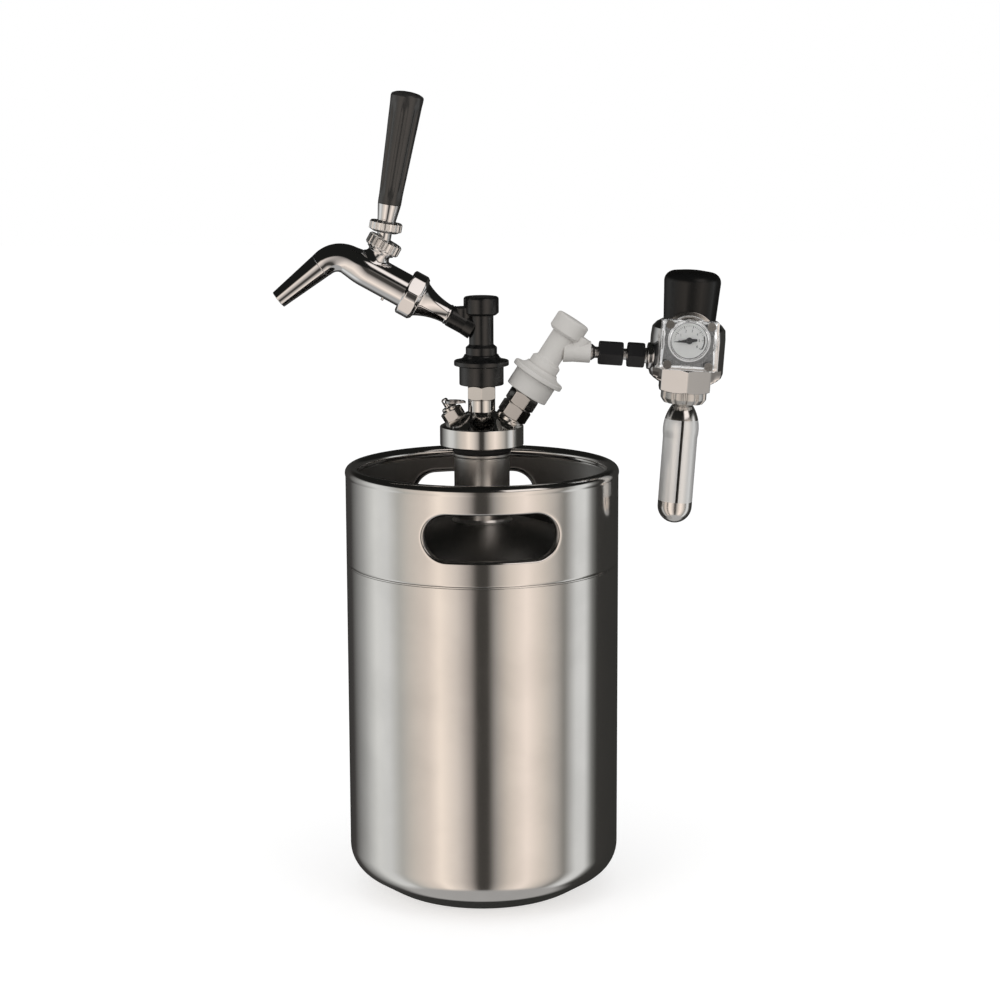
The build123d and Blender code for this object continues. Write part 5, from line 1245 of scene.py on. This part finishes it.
cartridge_steel.lay(
    base_color=cartridge_steel.tint(painted_reflection_line, wrapped, (0.10, 0.10, 0.10)),
    metallic=1.0 - wrap * 0.5,
    roughness=0.12 + draw_lines * 0.06 + lacquer_cloud * 0.03 + wrap * 0.16,
    coat_weight=0.2 + wrap * 0.1,
    normal=cartridge_steel.relief(draw_lines, 0.003),
)
cartridge_place = moved(regulator_place, 0, -31.0)
bottle = [(1.4, 0), (4.3, 0, 0.2), (4.7, -0.4, 0.2), (4.7, -10.8), (7.15, -13.0, 0.5)]
bottle += bow((7.2, shoulder_top), (cartridge_reach, shoulder_low), 1.9, 16)
bottle += [(cartridge_reach, shoulder_low - 0.5, 0), (cartridge_reach, bottle_low + 0.5, 0)]
for a in (pi / 2 * i / 20 for i in range(20)):
    bottle.append((cartridge_reach * cos(a), bottle_low - cartridge_reach * sin(a), 0))
bottle += [(0, cartridge_end), (0, cartridge_end + cartridge_wall)]
room = cartridge_reach - cartridge_wall
bottle += [(room * sin(a), bottle_low - room * cos(a), 0) for a in (pi / 2 * i / 10 for i in range(1, 11))]
bottle += [(room, shoulder_low, 0), (5.4, -14.8), (2.9, -11.0), (2.9, -3.6), (1.4, -3.6)]
cartridge = spun("co2_cartridge_bottle", cartridge_place, bottle, loop=True, steps=128)
settle(cartridge, "cartridge", "cartridge_paint", cartridge_steel, "co2_cartridge")

# ---------------------------------------------------------------- studio
# Plain pale floor, soft lamps at both sides, and a light tent whose panels show only in
# polished surfaces. The backdrop is white. Sizes here are in metres.
def staged(name, shell, height, paint):
    """Part of the studio, made from a bare mesh."""
    mesh = bpy.data.meshes.new(name)
    shell.to_mesh(mesh)
    shell.free()
    item = bpy.data.objects.new(name, mesh)
    item.location.z = height
    bpy.context.scene.collection.objects.link(item)
    mesh.materials.append(paint.owner)
    return item


paper = Paint(bpy.data.materials.new("studio_paper"))
seen = paper.node("LightPath", {}, {}, "Is Camera Ray")
matte = paper.node("BsdfDiffuse", {}, {"Color": (0.70, 0.70, 0.70)})
glow = paper.node("Emission", {}, {"Color": (1, 1, 1), "Strength": seen * 0.50})
paper.end("Material", paper.node("AddShader", {}, {0: matte, 1: glow}))
floor_shell = bmesh.new()
bmesh.ops.create_grid(floor_shell, x_segments=8, y_segments=8, size=6.0)
floor = staged("studio_floor", floor_shell, -0.0002, paper)
floor.visible_glossy = False

tent_radius = 5.0
cloth = Paint(bpy.data.materials.new("light_tent_cloth"))
east, north, up = cloth.axes()
around = cloth.node("Math", {"operation": "ARCTAN2"}, {0: east, 1: 0 - north}) * (0.5 / pi) + 0.5
rise = cloth.node("Math", {"operation": "ARCSINE"}, {0: up * (1 / tent_radius)}) * (180 / pi)
panels = cloth.node("ValToRGB", {"stops": [
    (0.00, (0.03, 0.03, 0.028)), (0.10, (0.055, 0.052, 0.05)), (0.17, (0.40, 0.40, 0.39)),
    (0.22, (0.78, 0.78, 0.76)), (0.26, (0.74, 0.74, 0.73)), (0.295, (0.50, 0.49, 0.46)),
    (0.33, (0.66, 0.60, 0.54)), (0.37, (0.80, 0.70, 0.62)), (0.40, (1.08, 0.94, 0.82)),
    (0.44, (0.78, 0.69, 0.62)), (0.470, (0.40, 0.36, 0.33)), (0.486, (0.055, 0.05, 0.045)),
    (0.512, (0.055, 0.05, 0.045)), (0.53, (0.40, 0.37, 0.34)), (0.56, (0.76, 0.67, 0.59)),
    (0.602, (1.06, 0.92, 0.82)), (0.64, (0.78, 0.69, 0.61)), (0.675, (0.52, 0.48, 0.44)),
    (0.70, (0.24, 0.23, 0.21)), (0.735, (0.74, 0.74, 0.73)), (0.765, (0.78, 0.78, 0.77)),
    (0.79, (0.20, 0.20, 0.19)), (0.81, (0.045, 0.043, 0.04)), (1.00, (0.03, 0.03, 0.028)),
]}, {0: around})
ceiling = cloth.step(rise, 12.0, 22.0)
table = 1 - cloth.step(rise, -62.0, -50.0)
high = cloth.step(rise, 20.0, 26.0) * (1 - cloth.step(rise, 46.0, 54.0))
high = high * cloth.between(around, 0.565, 0.655, 0.02)
show = cloth.tint(ceiling, panels, (0.012, 0.012, 0.011))
show = cloth.tint(high, show, (1.05, 0.96, 0.90))
show = cloth.tint(table, show, (0.42, 0.41, 0.40))
cloth.end("Material", cloth.node("Emission", {}, {"Color": show, "Strength": 1.0}))
tent_shell = bmesh.new()
bmesh.ops.create_icosphere(tent_shell, subdivisions=5, radius=tent_radius)
bmesh.ops.reverse_faces(tent_shell, faces=tent_shell.faces)
tent = staged("light_tent", tent_shell, 0.2, cloth)
for ray in ("camera", "diffuse", "transmission", "volume_scatter", "shadow"):
    setattr(tent, f"visible_{ray}", False)

world = bpy.data.worlds.new("white_backdrop")
bpy.context.scene.world = world
sky = Paint(world)
plain = sky.node("LightPath", {}, {}, "Is Camera Ray") + sky.node("LightPath", {}, {}, "Is Glossy Ray")
plain = plain + sky.node("LightPath", {}, {}, "Is Transmission Ray")
room_light = sky.node("Background", {}, {"Color": (1, 1, 1), "Strength": 0.75})
white = sky.node("Background", {}, {"Color": (1, 1, 1), "Strength": 1.0})
sky.end("World", sky.node("MixShader", {}, {0: plain, 1: room_light, 2: white}))

for name, bearing, power in (("left_lamp", -40, 5.0), ("right_lamp", 42, 4.0)):
    lamp = bpy.data.lights.new(name, "AREA")
    lamp.shape, lamp.size, lamp.size_y, lamp.energy = "RECTANGLE", 0.9, 1.2, power
    holder = bpy.data.objects.new(name, lamp)
    way = Vector((sin(radians(bearing)), -cos(radians(bearing)), 0.45)).normalized()
    holder.location = Vector((0, 0, 0.2)) + way * 1.8
    holder.rotation_euler = way.to_track_quat("Z", "Y").to_euler()
    holder.visible_glossy = False
    bpy.context.scene.collection.objects.link(holder)

camera_spot, focal_length = Vector((0, -1.5124, 0.5250)), 86.03
yaw, pitch, roll = 0.007598, 0.176264, -0.003669    # radians to the right, downward and tilted
ahead = Vector((sin(yaw) * cos(pitch), cos(yaw) * cos(pitch), -sin(pitch)))
right = Vector((cos(yaw), -sin(yaw), 0))
upward = right.cross(ahead)
right, upward = right * cos(roll) + upward * sin(roll), upward * cos(roll) - right * sin(roll)
lens = bpy.data.cameras.new("camera")
lens.lens, lens.sensor_width = focal_length, 36.0
camera = bpy.data.objects.new("camera", lens)
facing = Matrix((right, upward, -ahead)).transposed().to_quaternion()
camera.matrix_world = Matrix.LocRotScale(camera_spot, facing, None)
bpy.context.scene.collection.objects.link(camera)
bpy.context.scene.camera = camera
bpy.context.scene.view_settings.view_transform = "Standard"
